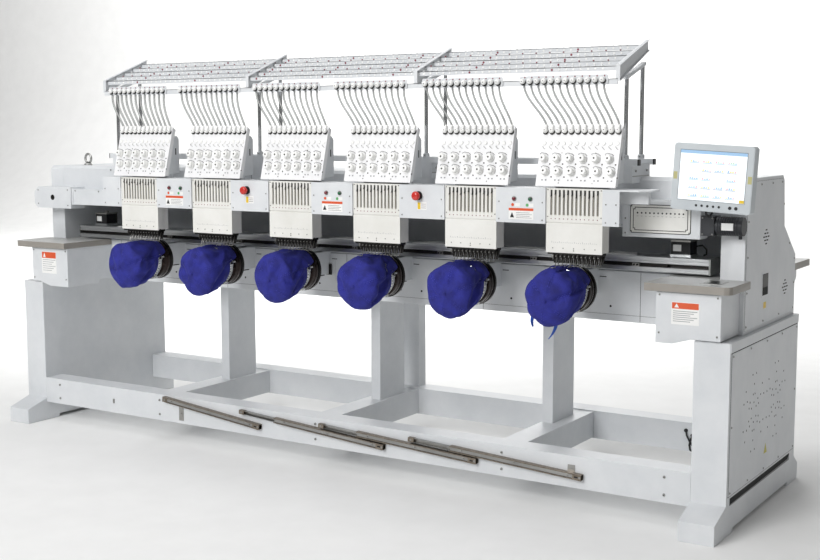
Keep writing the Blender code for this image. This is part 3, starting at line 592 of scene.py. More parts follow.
places = [(x, -0.532, z) for x0, x1 in ((-1.582, -1.376), (1.436, 1.634)) for x in (x0,
    x1) for z in (0.668, 0.795)]
screw_heads("side_box_screws", places, (0, -1, 0), 0.0036, "frame")

# Rear shelf: one laminated board on three folded brackets behind the bed.
bm = bmesh.new()
bm.from_mesh(frame["nodes"]["rear_table"].data)
bmesh.ops.remove_doubles(bm, verts=bm.verts[:], dist=0.00002)
bmesh.ops.dissolve_limit(bm, angle_limit=math.radians(1.0), verts=bm.verts[:], edges=bm.edges[:])
for face in bm.faces:
    centre = face.calc_center_median()
    face.material_index = 1 if centre.z > 0.8345 else 2 if centre.z > 0.8125 else 0
make_piece(bm, "rear_shelf", [powder_white, laminate, taupe_edge], "frame", 0.0018, "rear_table", 2,
    35, False)
bm = bmesh.new()
for x in (-1.18, -0.59, 0.0, 0.59, 1.18):
    add_box(bm, (x - 0.19, 0.0895, 0.88), (x + 0.19, 0.0912, 1.13), 0)
    add_box(bm, (x - 0.1915, 0.0895, 0.8785), (x + 0.1915, 0.0903, 1.1315), 1)
    for row in range(5):
        for item in range(3):
            add_box(bm, (x + (item - 1) * 0.05 - 0.018, 0.091, 0.98 + row * 0.014),
                (x + (item - 1) * 0.05 + 0.018, 0.0915, 0.985 + row * 0.014), 1)
    add_box(bm, (x - 0.22, 0.2648, 0.668), (x + 0.22, 0.2662, 0.795), 0)
make_piece(bm, "rear_covers", [powder_white, edge_dark], "frame", 0.0006, (), 1)
places = [(x + dx, 0.0914, z) for x in (-1.18, -0.59, 0.0, 0.59, 1.18) for dx in (-0.178,
    0.178) for z in (0.892, 1.118)]
screw_heads("rear_cover_screws", places, (0, 1, 0), 0.0042, "frame")

# Needle-change housing: cast aluminium box painted cream, with a black-edged number plate over a
# row of twelve sight holes. A gearmotor drives it from the right.
cream_enamel = mottle(new_finish("cream_enamel", "E4E3DE", 0.36)[0], "DDDCD6", "E9E8E4", 2.0, 0.015,
    rough=(0.3, 0.44))
ink_black = mottle(new_finish("screen_print_black", "17181A", 0.45)[0], "131416", "1D1E20", 2,
    0.005)
rounded_copy("colour_change_box", powder_white, 0.003, 3)
bm = bmesh.new()
outer = [(1.281, 0.992), (1.287, 0.986), (1.492, 0.986), (1.498, 0.992), (1.498, 1.078),
    (1.492, 1.084), (1.287, 1.084), (1.281, 1.078)]
inner = [(1.2835, 0.9935), (1.2885, 0.9885), (1.4905, 0.9885), (1.4955, 0.9935), (1.4955, 1.0765),
    (1.4905, 1.0815), (1.2885, 1.0815), (1.2835, 1.0765)]
add_prism(bm, "y", outer, -0.4200, -0.4212, 1)
add_prism(bm, "y", inner, -0.4200, -0.4216, 0)
frame_out = [(1.292, 1.001), (1.298, 1.001), (1.298, 0.995), (1.482, 0.995), (1.482, 1.001),
    (1.488, 1.001), (1.488, 1.069), (1.482, 1.069), (1.482, 1.075), (1.298, 1.075), (1.298, 1.069),
    (1.292, 1.069)]
add_prism(bm, "y", frame_out, -0.4200, -0.4219, 1)
frame_in = [(1.2945, 1.0035), (1.3005, 1.0035), (1.3005, 0.9975), (1.4795, 0.9975),
    (1.4795, 1.0035), (1.4855, 1.0035), (1.4855, 1.0665), (1.4795, 1.0665), (1.4795, 1.0725),
    (1.3005, 1.0725), (1.3005, 1.0665), (1.2945, 1.0665)]
add_prism(bm, "y", frame_in, -0.4200, -0.4222, 0)
for item in range(12):
    x = 1.3085 + item * 0.0148
    add_rod(bm, (x, -0.4205, 1.055), (x, -0.4225, 1.055), 0.0032, 10, 1)
    add_box(bm, (x - 0.0035, -0.4225, 1.0435), (x + 0.0035, -0.4205, 1.0445), 1)
add_box(bm, (1.255, -0.4225, 0.972), (1.275, -0.4195, 1.099), 2)
make_piece(bm, "needle_number_plate", [cream_enamel, ink_black, powder_white], "frame", 0.0004, (),
    1)
screw_heads("number_plate_screws", [(x, -0.4222, z) for x in (1.2865, 1.4925) for z in (0.992,
    1.078)] + [(1.265, -0.4228, z) for z in (0.985, 1.035, 1.086)], (0, -1, 0), 0.003, "frame")
motor_grey = mottle(new_finish("cast_motor_enamel", "2C2E31", 0.42, 0.2)[0], "26282B", "34363A",
    2.2, 0.03, rough=(0.36, 0.5))
bm = bmesh.new()
add_box(bm, (1.5303, -0.4178, 0.9852), (1.5760, -0.3522, 1.0508), 0)
barrel = [(0.0, 0.0), (0.0315, 0.0)]
for fin in range(9):
    barrel += [(0.0322, 0.006 + fin * 0.008), (0.0322, 0.010 + fin * 0.008),
        (0.0306, 0.011 + fin * 0.008), (0.0306, 0.0135 + fin * 0.008)]
barrel += [(0.0322, 0.080), (0.0310, 0.0915), (0.0, 0.0915)]
add_round(bm, "x", (1.5762, -0.385, 1.018), barrel, 32, 0)
add_box(bm, (1.600, -0.4182, 1.006), (1.640, -0.4145, 1.030), 1)
add_rod(bm, (1.655, -0.385, 0.990), (1.655, -0.385, 0.976), 0.006, 12, 0)
make_piece(bm, "needle_change_motor", [motor_grey, label_white], "frame", 0.0012,
    "colour_change_motor")
screw_heads("motor_screws", [(1.553 + dx, -0.4180, 1.018 + dz) for dx in (-0.017,
    0.017) for dz in (-0.027, 0.027)], (0, -1, 0), 0.003, "frame")

# Operation panel: light grey moulded case round a flat colour screen, with a row of soft keys
# below it. It tilts on a bracket at the cabinet.
panel_grey = mottle(new_finish("abs_panel_grey", "C2C8CC", 0.4)[0], "BBC1C5", "C9CFD2", 1.2, 0.012,
    rough=(0.34, 0.48))
tilt = Matrix.Translation((1.600, -0.4985, 1.1805)) @ Matrix.Rotation(math.radians(3.2), 4, "Y")
glow = {"sky": "E4E9EC", "blue": "8FAECB", "green": "A9C7B0", "yellow": "DCCB86", "pink": "D3A9AE",
    "ink": "8493A3"}
lit = {}
for name, code in glow.items():
    finish, tree, shader = new_finish("lit_screen_" + name, code, 0.15, Emission_Strength=0.5)
    shader.inputs["Emission Color"].default_value = linear(code)
    lit[name] = finish
# Darker grey for the step round the screen: painted shade inside the bezel recess.
bezel_shadow = mottle(new_finish("bezel_step_painted_shade", "7C8286", 0.5)[0], "767C80", "82888C", 1.5,
    0.01)
label_olive = mottle(new_finish("printed_vinyl_olive", "B7B27C", 0.4)[0], "AFAA75", "BFBA84", 2,
    0.005)
bm = bmesh.new()
case = [(-0.1325, -0.101), (-0.1255, -0.108), (0.1255, -0.108), (0.1325, -0.101), (0.1325, 0.101),
    (0.1255, 0.108), (-0.1255, 0.108), (-0.1325, 0.101)]
add_prism(bm, "y", case, -0.0215, 0.0225, 0)
for low, high in (((-0.130, 0.088), (0.130, 0.1055)), ((-0.130, -0.1055), (0.130, -0.076)),
    ((-0.130, -0.076), (-0.112, 0.088)), ((0.112, -0.076), (0.130, 0.088))):
    add_box(bm, (low[0], -0.0225, low[1]), (high[0], -0.0205, high[1]), 0)
# Step round the screen in the darker grey, as painted shade in the recess.
add_box(bm, (-0.1115, -0.0221, -0.0755), (0.1115, -0.0210, 0.0875), 5)
for item in range(5):
    add_rod(bm, (-0.046 + item * 0.019, -0.0222, -0.0905),
        (-0.046 + item * 0.019, -0.0232, -0.0905), 0.0042, 14, 1)
for x in (0.066, 0.086):
    add_rod(bm, (x, -0.0222, -0.0905), (x, -0.0240, -0.0905), 0.0056, 16, 1)
for side in (-1, 1):
    add_box(bm, (side * 0.123 - 0.0065, -0.0229, -0.010), (side * 0.123 + 0.0065, -0.0222, 0.014),
        2)
add_box(bm, (0.094, -0.0232, -0.073), (0.110, -0.0222, -0.063), 4)
add_box(bm, (-0.100, 0.0225, -0.080), (0.100, 0.0232, 0.085), 0)
for row in range(7):
    add_box(bm, (-0.060, 0.0230, 0.010 + row * 0.009), (0.060, 0.0235, 0.0135 + row * 0.009), 1)
bm.transform(tilt)
for side in (-1, 1):
    add_box(bm, (1.600 + side * 0.0115 - 0.003, -0.480, 1.120),
        (1.600 + side * 0.0115 + 0.003, -0.444, 1.140), 3)
add_rod(bm, (1.580, -0.452, 1.130), (1.6205, -0.452, 1.130), 0.0045, 16, 3)
make_piece(bm, "operation_panel_case", [panel_grey, ink_black, label_olive, black_oxide,
    caution_yellow, bezel_shadow], "operation_panel", 0.0016, "monitor", 2)
bm = bmesh.new()
slots = list(lit.values())
add_box(bm, (-0.110, -0.0226, -0.074), (0.110, -0.0220, 0.086), 0)
add_box(bm, (-0.110, -0.0228, 0.076), (0.110, -0.0222, 0.086), 1)
random.seed(6)
for row in range(5):
    for item in range(4):
        if (row, item) in ((1, 0), (2, 2)):
            continue
        x, z = -0.076 + item * 0.0415, 0.052 - row * 0.0275
        colour = random.choice((1, 1, 1, 3, 1, 2))
        for peak in range(4):
            left = x + peak * 0.0075
            tall = 0.003 + 0.006 * random.random()
            add_prism(bm, "y", [(left, z - 0.003), (left + 0.0072, z - 0.003),
                (left + 0.0036, z - 0.003 + tall)], -0.0229, -0.0223,
                colour if peak % 3 else random.choice((1, 3, 4)))
        add_box(bm, (x - 0.002, -0.0229, z - 0.0062), (x + 0.031, -0.0223, z - 0.0045),
            5 if row % 2 else 1)
bm.transform(tilt)
make_piece(bm, "operation_panel_screen", slots, "operation_panel")
bm = bmesh.new()
lead_path = [(1.565, -0.472, 1.085), (1.560, -0.455, 1.060), (1.566, -0.435, 1.052),
    (1.575, -0.425, 1.070), (1.582, -0.415, 1.100), (1.586, -0.395, 1.112)]
add_tube(bm, lead_path, 0.0035, 8, 0)
lead_skin = make_piece(bm, "panel_lead", [pvc_black], None)
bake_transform(lead_skin)

# Sewing heads: twelve needles each. The case is cast aluminium with cream enamelled covers, the
# lower one a folded hood, the upper one slotted for the take-up levers.
nylon_white = mottle(new_finish("moulded_nylon_white", "F2F2F0", 0.3)[0], "EDEDEB", "F7F7F5", 1.2,
    0.01)
satin_steel = mottle(new_finish("satin_nickel_steel", "9C9B98", 0.28, 1.0)[0], "8E8D8A", "AAA9A6",
    0.8, 0.008)
slot_shadow = mottle(new_finish("unlit_slot_black", "232221", 0.7)[0], "1E1D1C", "292827", 1.0,
    0.01)
print_red = mottle(new_finish("screen_print_maroon", "7C2A3A", 0.5)[0], "6E1F30", "8A3444", 1.0,
    0.004)
print_grey = mottle(new_finish("screen_print_grey", "8E9092", 0.5)[0], "888A8C", "949698", 1.0,
    0.004)
board_white = mottle(new_finish("white_enamel_board", "EFEFF0", 0.34)[0], "E9E9EA", "F4F4F5", 2.0,
    0.01, rough=(0.28, 0.42))
thread_cream = mottle(new_finish("polyester_thread_cream", "E9DFC9", 0.45)[0], "E2D7C0", "F0E7D3",
    0.4, 0.01)
slope = Vector((0.0, 0.2632, 0.9648))
outward = Vector((0.0, -0.9648, 0.2632))
needle_pitch = 0.01548


def on_board(x, along, off=0.0):
    """Point on the leaning tension board: across, up its slope and out from its face."""
    return Vector((x, -0.5956, 1.1461)) + slope * along + outward * off


def knob(bm, base, facing, radius, slot, shade_and_pin_slot):
    """Ball-shaped guide knob with a dark disc set lower on the slope as painted shade below the ball, and a dark
    pin in its end.
    """
    # Painted shade: a dark disc set down the slope so that it shows below the ball.
    add_round(bm, facing, base - slope * radius * 0.42,
        [(0.0, 0.0), (radius * 0.98, 0.0), (radius * 0.98, radius * 0.55), (0.0, radius * 0.55)],
        16, shade_and_pin_slot)
    ball = [(0.0, 0.0), (radius * 0.55, 0.0), (radius * 0.86, radius * 0.38),
        (radius, radius * 0.85), (radius * 0.90, radius * 1.30), (radius * 0.58, radius * 1.60),
        (0.0, radius * 1.72)]
    add_round(bm, facing, base, ball, 18, slot)
    add_round(bm, facing, base + Vector(facing) * radius * 1.70,
        [(0.0, 0.0), (radius * 0.20, 0.0), (radius * 0.16, radius * 0.10), (0.0, radius * 0.10)], 8,
        shade_and_pin_slot)


for number, x in enumerate(heads, 1):
    bm = bmesh.new()
    add_box(bm, (x - 0.1000, -0.5760, 0.9235), (x + 0.1000, -0.5300, 1.1400), 0)
    add_box(bm, (x - 0.1038, -0.5916, 1.0245), (x + 0.1038, -0.5745, 1.1402), 0)
    add_box(bm, (x - 0.1000, -0.5335, 0.9300), (x + 0.1000, -0.5300, 1.165), 1)
    make_piece(bm, "needle_case_body_%d" % number, [cream_enamel, powder_white], "head_carriage",
        0.0015, "needle_case_%d" % number)

    bm = bmesh.new()
    hood = [(-0.5932, 1.0233), (-0.5956, 1.0210), (-0.5956, 0.9225), (-0.5944, 0.9213),
        (-0.5925, 0.9213), (-0.5925, 1.0205), (-0.5720, 1.0205), (-0.5720, 1.0233)]
    add_prism(bm, "x", hood, x - 0.1038, x + 0.1038, 0)
    for side in (-1, 1):
        cheek = [(-0.5940, 0.9213), (-0.5715, 0.9350), (-0.5715, 1.0225), (-0.5940, 1.0225)]
        add_prism(bm, "x", cheek, x + side * 0.1038, x + side * 0.1016, 0)
    add_prism(bm, "x", [(-0.5935, 1.0236), (-0.5950, 1.0262), (-0.5905, 1.0262), (-0.5905, 1.0236)],
        x - 0.1010, x + 0.1042, 0)
    rail = (-0.5956, -0.5915)
    add_box(bm, (x - 0.1038, rail[0], 1.1345), (x + 0.1038, rail[1], 1.1402), 0)
    add_box(bm, (x - 0.1038, rail[0], 1.0262), (x + 0.1038, rail[1], 1.0500), 0)
    first = x - 0.085
    edges = [x - 0.1038] + [first + i * needle_pitch + 0.0036 * s for i in range(12) for s in (-1,
        1)] + [x + 0.1038]
    for low, high in zip(edges[0::2], edges[1::2]):
        add_box(bm, (low, rail[0], 1.0495), (high, rail[1], 1.1350), 0)
    add_box(bm, (x - 0.0925, -0.5918, 1.0495), (x + 0.0915, -0.5908, 1.1352), 1)
    for item in range(12):
        here = first + item * needle_pitch
        add_box(bm, (here - 0.0012, -0.5972, 1.0355), (here + 0.0012, -0.5955, 1.0385), 2)
        lift = 0.0055 * math.sin(item * 1.9 + number)
        add_box(bm, (here - 0.0012, -0.6010, 1.1130 + lift),
            (here + 0.0008, -0.5900, 1.1155 + lift), 3)
        add_rod(bm, (here - 0.0002, -0.6008, 1.1145 + lift),
            (here + 0.0040, -0.6002, 1.1250 + lift), 0.0011, 6, 3)
        add_box(bm, (here - 0.0008, -0.5930, 1.0500), (here + 0.0008, -0.5912, 1.1160 + lift), 4)
        add_tube(bm, [(here + 0.0010, -0.6004, 1.1150 + lift), (here + 0.0020, -0.5995, 1.0900),
            (here + 0.0012, -0.5975, 1.0450)], 0.0005, 5, 5)
    for item in range(24):
        here = x - 0.082 + item * 0.0071
        add_box(bm, (here, -0.5959, 0.9550), (here + 0.0012, -0.5955,
            0.9550 + (0.006 if item % 4 == 0 else 0.0035)), 6)
    make_piece(bm, "needle_case_covers_%d" % number,
        [cream_enamel, slot_shadow, print_red, black_oxide, satin_steel, thread_cream, print_grey],
        "head_carriage", 0.0005, (), 1)
    screw_heads("cover_screws_%d" % number, [(x + d, -0.5958, 0.9375) for d in (-0.078, -0.039, 0.0,
        0.039, 0.078)] + [(x, -0.5958, 0.9305)]
                + [(x + d, -0.5958, z) for d in (-0.098, 0.098) for z in (1.044, 1.135)],
                    (0, -1, 0), 0.0024, "head_carriage")

    bm = bmesh.new()
    half = 0.1469
    board = [on_board(x, 0.0), on_board(x, 0.2128), on_board(x, 0.2128, -0.004),
        on_board(x, 0.0, -0.004)]
    add_prism(bm, "x", [(p.y, p.z) for p in board], x - half, x + half, 0)
    back = [(-0.5870, 1.1500), (-0.4885, 1.1585), (-0.4885, 1.3000), (-0.5005, 1.3130),
        (-0.5450, 1.3130)]
    add_prism(bm, "x", back, x - half + 0.016, x + half - 0.016, 1)
    for side in (-1, 1):
        flange = [on_board(x, 0.004, -0.003), on_board(x, 0.209, -0.003),
            on_board(x, 0.205, -0.020), on_board(x, 0.008, -0.020)]
        add_prism(bm, "x", [(p.y, p.z) for p in flange], x + side * (half - 0.0005),
            x + side * (half - 0.003), 0)
        add_box(bm, (x + side * 0.1306, -0.512, 1.235), (x + side * 0.1312, -0.506, 1.262), 2)
    for item in range(12):
        here = x - 0.1320 + item * 0.0243
        knob(bm, on_board(here, 0.1930), outward, 0.0098, 3, 4)
        add_round(bm, outward, on_board(here, 0.1495, 0.0),
            [(0.0, 0.0), (0.0072, 0.0), (0.0072, 0.0022), (0.0058, 0.0034), (0.0, 0.0034)], 14, 3)
        add_tube(bm, [on_board(here - 0.004, 0.1375, 0.0), on_board(here - 0.004, 0.1375, 0.006),
            on_board(here + 0.001, 0.1320, 0.008), on_board(here + 0.006, 0.1285, 0.001)], 0.0008,
            6, 5)
    for row, (along, offset) in enumerate(((0.0950, 0.0), (0.0500, 0.0110))):
        for item in range(6):
            here = x - 0.1260 + offset + item * 0.0480
            base = on_board(here, along)
            add_round(bm, outward, base, [(0.0, 0.0), (0.0150, 0.0), (0.0150, 0.0018),
                (0.0128, 0.0035), (0.0, 0.0035)], 22, 3)
            add_round(bm, outward, base, [(0.0, 0.0035), (0.0115, 0.0035), (0.0152, 0.0062),
                (0.0152, 0.0078), (0.0, 0.0078)], 22, 3)
            grip = [(0.0, 0.0078), (0.0122, 0.0078), (0.0122, 0.0180), (0.0104, 0.0205),
                (0.0, 0.0205)]
            add_round(bm, outward, base, grip, 22, 3)
            for rib in range(12):
                turn = Matrix.Rotation(rib * math.pi / 6, 3, outward)
                reach = turn @ Vector((1, 0, 0))
                spot = base + reach * 0.0122
                add_rod(bm, spot + outward * 0.0085, spot + outward * 0.0185, 0.0010, 5, 3)
            add_round(bm, outward, base + outward * 0.0205,
                [(0.0, 0.0), (0.0032, 0.0), (0.0028, 0.0022), (0.0, 0.0022)], 10, 4)
            add_tube(bm, [on_board(here - 0.013, along + 0.012, 0.0),
                on_board(here - 0.0145, along + 0.0155, 0.009),
                on_board(here - 0.006, along + 0.0190, 0.010),
                          on_board(here + 0.010, along + 0.0165, 0.007),
                              on_board(here + 0.014, along + 0.0120, 0.0)], 0.0009, 6, 4)
            add_round(bm, outward, on_board(here + 0.0240, along - 0.0175),
                [(0.0, 0.0), (0.0028, 0.0), (0.0028, 0.0012), (0.0, 0.0012)], 8, 4)
    for item in range(6):
        for step in (0.0, 0.014):
            here = x - 0.126 + item * 0.0480 + step
            add_prism(bm, "x", [(p.y, p.z) for p in (on_board(x, 0.0195, 0.0),
                on_board(x, 0.0240, 0.0), on_board(x, 0.0240, 0.0012),
                on_board(x, 0.0195, 0.0012))], here, here + 0.005, 6)
    make_piece(bm, "tension_board_%d" % number, [board_white, powder_white, edge_dark, nylon_white,
        black_oxide, satin_steel, print_grey], "head_carriage", 0.0008, (), 1)
    corners = [on_board(x + dx, s) - on_board(0, 0) for dx in (-0.062, 0.062) for s in (0.012,
        0.117)]
    screw_heads("tension_screws_%d" % number, [on_board(0, 0) + c for c in corners], outward,
        0.0026, "head_carriage")

# Needle bars: twelve ground steel bars in a row under each hood, with clamps, needles and sprung
# presser feet. The bar over the arm works; the rest stand raised.
for number, x in enumerate(heads, 1):
    bm = bmesh.new()
    add_prism(bm, "y", [(x - 0.0985, 0.9260), (x + 0.0985, 0.9260), (x + 0.0985, 0.9130),
        (x + 0.0900, 0.8830), (x - 0.0880, 0.8830), (x - 0.0960, 0.9130)], -0.5640, -0.5560, 0)
    add_box(bm, (x - 0.0990, -0.5915, 0.9150), (x + 0.0990, -0.5500, 0.9260), 0)
    for item in range(12):
        here = x - 0.085 + item * needle_pitch
        foot = 0.8760 if item else 0.8668
        reach = 0.0052 if item else 0.0080
        loop = [(here + reach * math.cos(a), -0.5780 + 0.8 * reach * math.sin(a),
            foot) for a in [i * math.pi / 5 for i in range(11)]]
        add_tube(bm, loop, 0.0011, 5, 1)
        add_tube(bm, [(here + reach, -0.5780, foot), (here + reach + 0.0006, -0.5765, foot + 0.012),
            (here + reach + 0.0004, -0.5700, foot + 0.026), (here + reach, -0.5645, foot + 0.036)],
            0.0014, 6, 1)
        add_round(bm, "z", (here + 0.0076, -0.5860, 0.0),
            [(0.0, 0.8990), (0.0026, 0.8990), (0.0026, 0.9160), (0.0, 0.9160)], 8, 0)
        if item == 0:
            continue
        add_rod(bm, (here, -0.5780, 0.9250), (here, -0.5780, 0.9085), 0.0034, 10, 2)
        add_box(bm, (here - 0.0036, -0.5830, 0.9040), (here + 0.0036, -0.5745, 0.9130), 0)
        add_rod(bm, (here, -0.5830, 0.9085), (here, -0.5862, 0.9085), 0.0022, 8, 1)
        add_rod(bm, (here, -0.5780, 0.9045), (here, -0.5780, 0.8830), 0.0008, 6, 2)
    make_piece(bm, "idle_needles_%d" % number, [black_oxide, satin_steel, chrome], "head_carriage")
    here = x - 0.085
    bm = bmesh.new()
    add_rod(bm, (here, -0.5780, 1.0300), (here, -0.5780, 0.9070), 0.0034, 12, 1)
    add_box(bm, (here - 0.0040, -0.5830, 0.9030), (here + 0.0040, -0.5745, 0.9120), 0)
    add_rod(bm, (here, -0.5830, 0.9075), (here, -0.5862, 0.9075), 0.0022, 8, 0)
    add_rod(bm, (here, -0.5780, 0.9040), (here, -0.5780, 0.8960), 0.0010, 8, 1)
    make_piece(bm, "working_needle_%d" % number, [satin_steel, chrome], "needle_bar_%d" % number, 0,
        "needle_bar_%d" % number)

# Thread guides: a drilled steel strip hangs below the rack over each head, with twelve knobs. Clear
# nylon tubes lead each thread down to the tension board; they are fixed in place and do not follow the heads.
tube_clear, tree, shader = new_finish("clear_nylon_tube", "6A6E6D", 0.22, IOR=1.5, Alpha=0.42)
mottle(tube_clear, "636766", "737776", 1.0, 0.004)
for number, x in enumerate(heads, 1):
    left = 0.0555 + (number - 3.5) * 0.4
    bm = bmesh.new()
    plate = [(left - 0.167, 1.4900), (left - 0.164, 1.4874), (left + 0.162, 1.4874),
        (left + 0.167, 1.4920), (left + 0.167, 1.5180), (left + 0.163, 1.5221),
        (left - 0.164, 1.5221), (left - 0.167, 1.5195)]
    add_prism(bm, "y", plate, -0.4900, -0.4925, 0)
    for item in range(12):
        here = left - 0.1505 + item * 0.0273
        knob(bm, Vector((here, -0.4925, 1.5040)), (0, -1, 0), 0.0100, 1, 3)
        add_rod(bm, (here + 0.005, -0.4920, 1.5168), (here + 0.005, -0.4942, 1.5168), 0.0025, 8, 2)
        add_rod(bm, (here + 0.002, -0.4905, 1.4885), (here + 0.002, -0.4905, 1.4800), 0.0045, 10, 0)
    make_piece(bm, "thread_guide_strip_%d" % number,
        [powder_white, nylon_white, print_red, black_oxide], "frame", 0.0005, (), 1)
    bm = bmesh.new()
    for item in range(12):
        top = Vector((left - 0.1485 + item * 0.0273, -0.4905, 1.4880))
        low = on_board(x - 0.1320 + item * 0.0243, 0.2128, 0.004)
        path = []
        for step in range(19):
            t = step / 18
            sway = t * t * (3 - 2 * t)
            spot = top.lerp(low, t)
            spot.x = top.x + (low.x - top.x) * (0.25 * t + 0.75 * sway)
            spot.y = top.y + (low.y - top.y) * sway - 0.012 * math.sin(math.pi * t)
            path.append(spot)
        path.append(low - slope * 0.016)
        add_tube(bm, path, 0.0046, 8, 0)
        add_tube(bm, path, 0.0026, 6, 1)
        add_rod(bm, low + slope * 0.002, low - slope * 0.012, 0.0050, 10, 1)
    tubes = make_piece(bm, "thread_tubes_%d" % number, [tube_clear, nylon_white], None)
    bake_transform(tubes)

# Carriage panels: a folded steel shelf and front that join all the cases, so that they step
# sideways together. Stop and start keys and mushroom stops sit between the heads.
rounded_copy("switch_panel_strip", powder_white, 0.0008, 1)
red_cap = mottle(new_finish("moulded_red_acrylic", "C62A22", 0.25, Coat_Weight=0.3)[0], "BE251E",
    "CE3128", 1.5, 0.01)
maroon_cap = mottle(new_finish("moulded_dark_red_acrylic", "6E1D2A", 0.22, Coat_Weight=0.4)[0],
    "661926", "782230", 1.0, 0.01)
green_cap = mottle(new_finish("moulded_green_acrylic", "1F5A3A", 0.22, Coat_Weight=0.4)[0],
    "1A5133", "256543", 1.0, 0.01)
label_green = mottle(new_finish("printed_vinyl_green", "5FA867", 0.4)[0], "58A060", "68B070", 1.5,
    0.004)
record_joints = {joint["name"]: joint for joint in frame["joints"]}
bm = bmesh.new()
for group in (0.5, 2.5, 4.5):
    x = 0.1525 + (group - 2.5) * 0.4
    add_box(bm, (x - 0.045, -0.6010, 1.030), (x + 0.050, -0.6005, 1.070), 0)
    add_box(bm, (x - 0.045, -0.6013, 1.0600), (x + 0.050, -0.6006, 1.0690), 1)
    add_box(bm, (x - 0.022, -0.6010, 1.0740), (x - 0.002, -0.6006, 1.0860), 0)
    add_box(bm, (x + 0.032, -0.6010, 1.0740), (x + 0.050, -0.6006, 1.0860), 0)
    add_rod(bm, (x + 0.026, -0.6004, 1.080), (x + 0.026, -0.6012, 1.080), 0.0055, 16, 4)
    add_rod(bm, (x - 0.030, -0.6004, 1.080), (x - 0.030, -0.6012, 1.080), 0.0055, 16, 1)
    for row in range(4):
        add_box(bm, (x - 0.016, -0.6013, 1.0350 + row * 0.0058),
            (x + 0.044 - 0.008 * (row % 2), -0.6007, 1.0365 + row * 0.0058), 3)
    add_prism(bm, "y", [(x - 0.040, 1.036), (x - 0.024, 1.036), (x - 0.032, 1.054)], -0.6014,
        -0.6007, 2)
for group in (1.5, 3.5):
    x = 0.1525 + (group - 2.5) * 0.4 - 0.0125
    add_box(bm, (x - 0.006, -0.6010, 1.050), (x + 0.034, -0.6006, 1.078), 0)
    add_box(bm, (x - 0.004, -0.6013, 1.052), (x + 0.008, -0.6007, 1.076), 5)
    for row in range(3):
        add_box(bm, (x + 0.011, -0.6013, 1.056 + row * 0.007),
            (x + 0.031, -0.6007, 1.058 + row * 0.007), 3)
make_piece(bm, "key_labels", [label_white, label_orange, ink_black, print_grey, label_green,
    caution_yellow], "head_carriage")
for name, joint in sorted(record_joints.items()):
    if not name.endswith("_press"):
        continue
    node = name[:-len("_press")]
    low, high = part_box(node)
    x = (low.x + high.x) / 2 - middle.x
    bm = bmesh.new()
    if node.startswith("emergency"):
        head = [(0.0, -0.0300), (0.0075, -0.0297), (0.0128, -0.0280), (0.0158, -0.0245),
            (0.0165, -0.0205), (0.0158, -0.0165), (0.0120, -0.0135), (0.0080, -0.0130),
            (0.0080, 0.0012), (0.0, 0.0012)]
        add_round(bm, "y", (x, -0.6007, 1.101), head, 28, 0)
        make_piece(bm, node + "_mushroom", [red_cap], node, 0, node, angle=50)
        bm = bmesh.new()
        add_round(bm, "y", (x, -0.6007, 1.101), [(0.0090, -0.0060), (0.0150, -0.0060),
            (0.0165, -0.0035), (0.0165, -0.0003), (0.0090, -0.0003)], 28, 0)
        make_piece(bm, node + "_collar", [ink_black], "head_carriage")
        continue
    cap_finish = maroon_cap if node.startswith("stop") else green_cap
    add_round(bm, "y", (x, -0.6007, 1.101), [(0.0, -0.0085), (0.0044, -0.0083), (0.0058, -0.0070),
        (0.0060, -0.0050), (0.0060, 0.0012), (0.0, 0.0012)], 20, 0)
    make_piece(bm, node + "_cap", [cap_finish], node, 0, node, angle=50)
    bm = bmesh.new()
    add_round(bm, "y", (x, -0.6007, 1.101), [(0.0066, -0.0030), (0.0078, -0.0030),
        (0.0088, -0.0018), (0.0088, -0.0003), (0.0066, -0.0003)], 22, 0)
    make_piece(bm, node + "_bezel", [satin_steel], "head_carriage")
edges = [-1.054] + [v for x in heads for v in (x - 0.1045, x + 0.1045)] + [1.317]
places = [(x + d, -0.6010, z) for low, high in zip(edges[0::2],
    edges[1::2]) for x, d in ((low, 0.012), (high, -0.012)) for z in (1.030, 1.090)]
screw_heads("panel_screws", places, (0, -1, 0), 0.0028, "head_carriage")

# Moving rail: extruded aluminium beam that carries the cap frames in and out. A steel bar slides
# along its slot and turns all the rings together through clamps.
extruded = mottle(new_finish("extruded_aluminium", "C3C5C6", 0.3, 1.0)[0], "B7B9BA", "CDCFD0", 0.8,
    0.008, (0.5, 12, 12), (0.24, 0.38))
anodised_grey = mottle(new_finish("anodised_grey_aluminium", "8F928F", 0.38, 0.9)[0], "868985",
    "999C99", 0.9, 0.01, (0.6, 10, 10))
motor_black = mottle(new_finish("stepper_motor_black", "17181A", 0.4, 0.3)[0], "131416", "1E1F21",
    1.4, 0.02)
bm = bmesh.new()
rail = [(-0.2000, 0.8415), (-0.3160, 0.8415), (-0.3200, 0.8450), (-0.3200, 0.8595),
    (-0.3000, 0.8595), (-0.3000, 0.8735),
        (-0.3200, 0.8735), (-0.3200, 0.8800), (-0.3175, 0.8810), (-0.3175, 0.8850),
            (-0.3200, 0.8860), (-0.3200, 0.8945), (-0.3175, 0.8970), (-0.2000, 0.8970)]
add_prism(bm, "x", rail, -1.5035, 1.5280, 0)
add_box(bm, (-1.5280, -0.3005, 0.8597), (1.5270, -0.2998, 0.8733), 2)
add_box(bm, (1.5280, -0.3205, 0.8410), (1.5345, -0.1995, 0.8975), 1)
add_box(bm, (-1.5050, -0.3205, 0.8410), (-1.5035, -0.1995, 0.8975), 1)
cover_ends = [-1.33] + lines + [1.33]
for low, high in zip(cover_ends, cover_ends[1:]):
    a, b = low + 0.065, high - 0.065
    add_prism(bm, "z", [(a, -0.3150), (b, -0.3150), (b - 0.030, -0.2350), (a + 0.030, -0.2350)],
        0.8970, 0.8995, 3)
    ribs = int((b - a - 0.06) / 0.016)
    for rib in range(ribs):
        x = a + 0.035 + rib * 0.016
        add_box(bm, (x, -0.3120, 0.8993), (x + 0.006, -0.2420, 0.9008), 3)
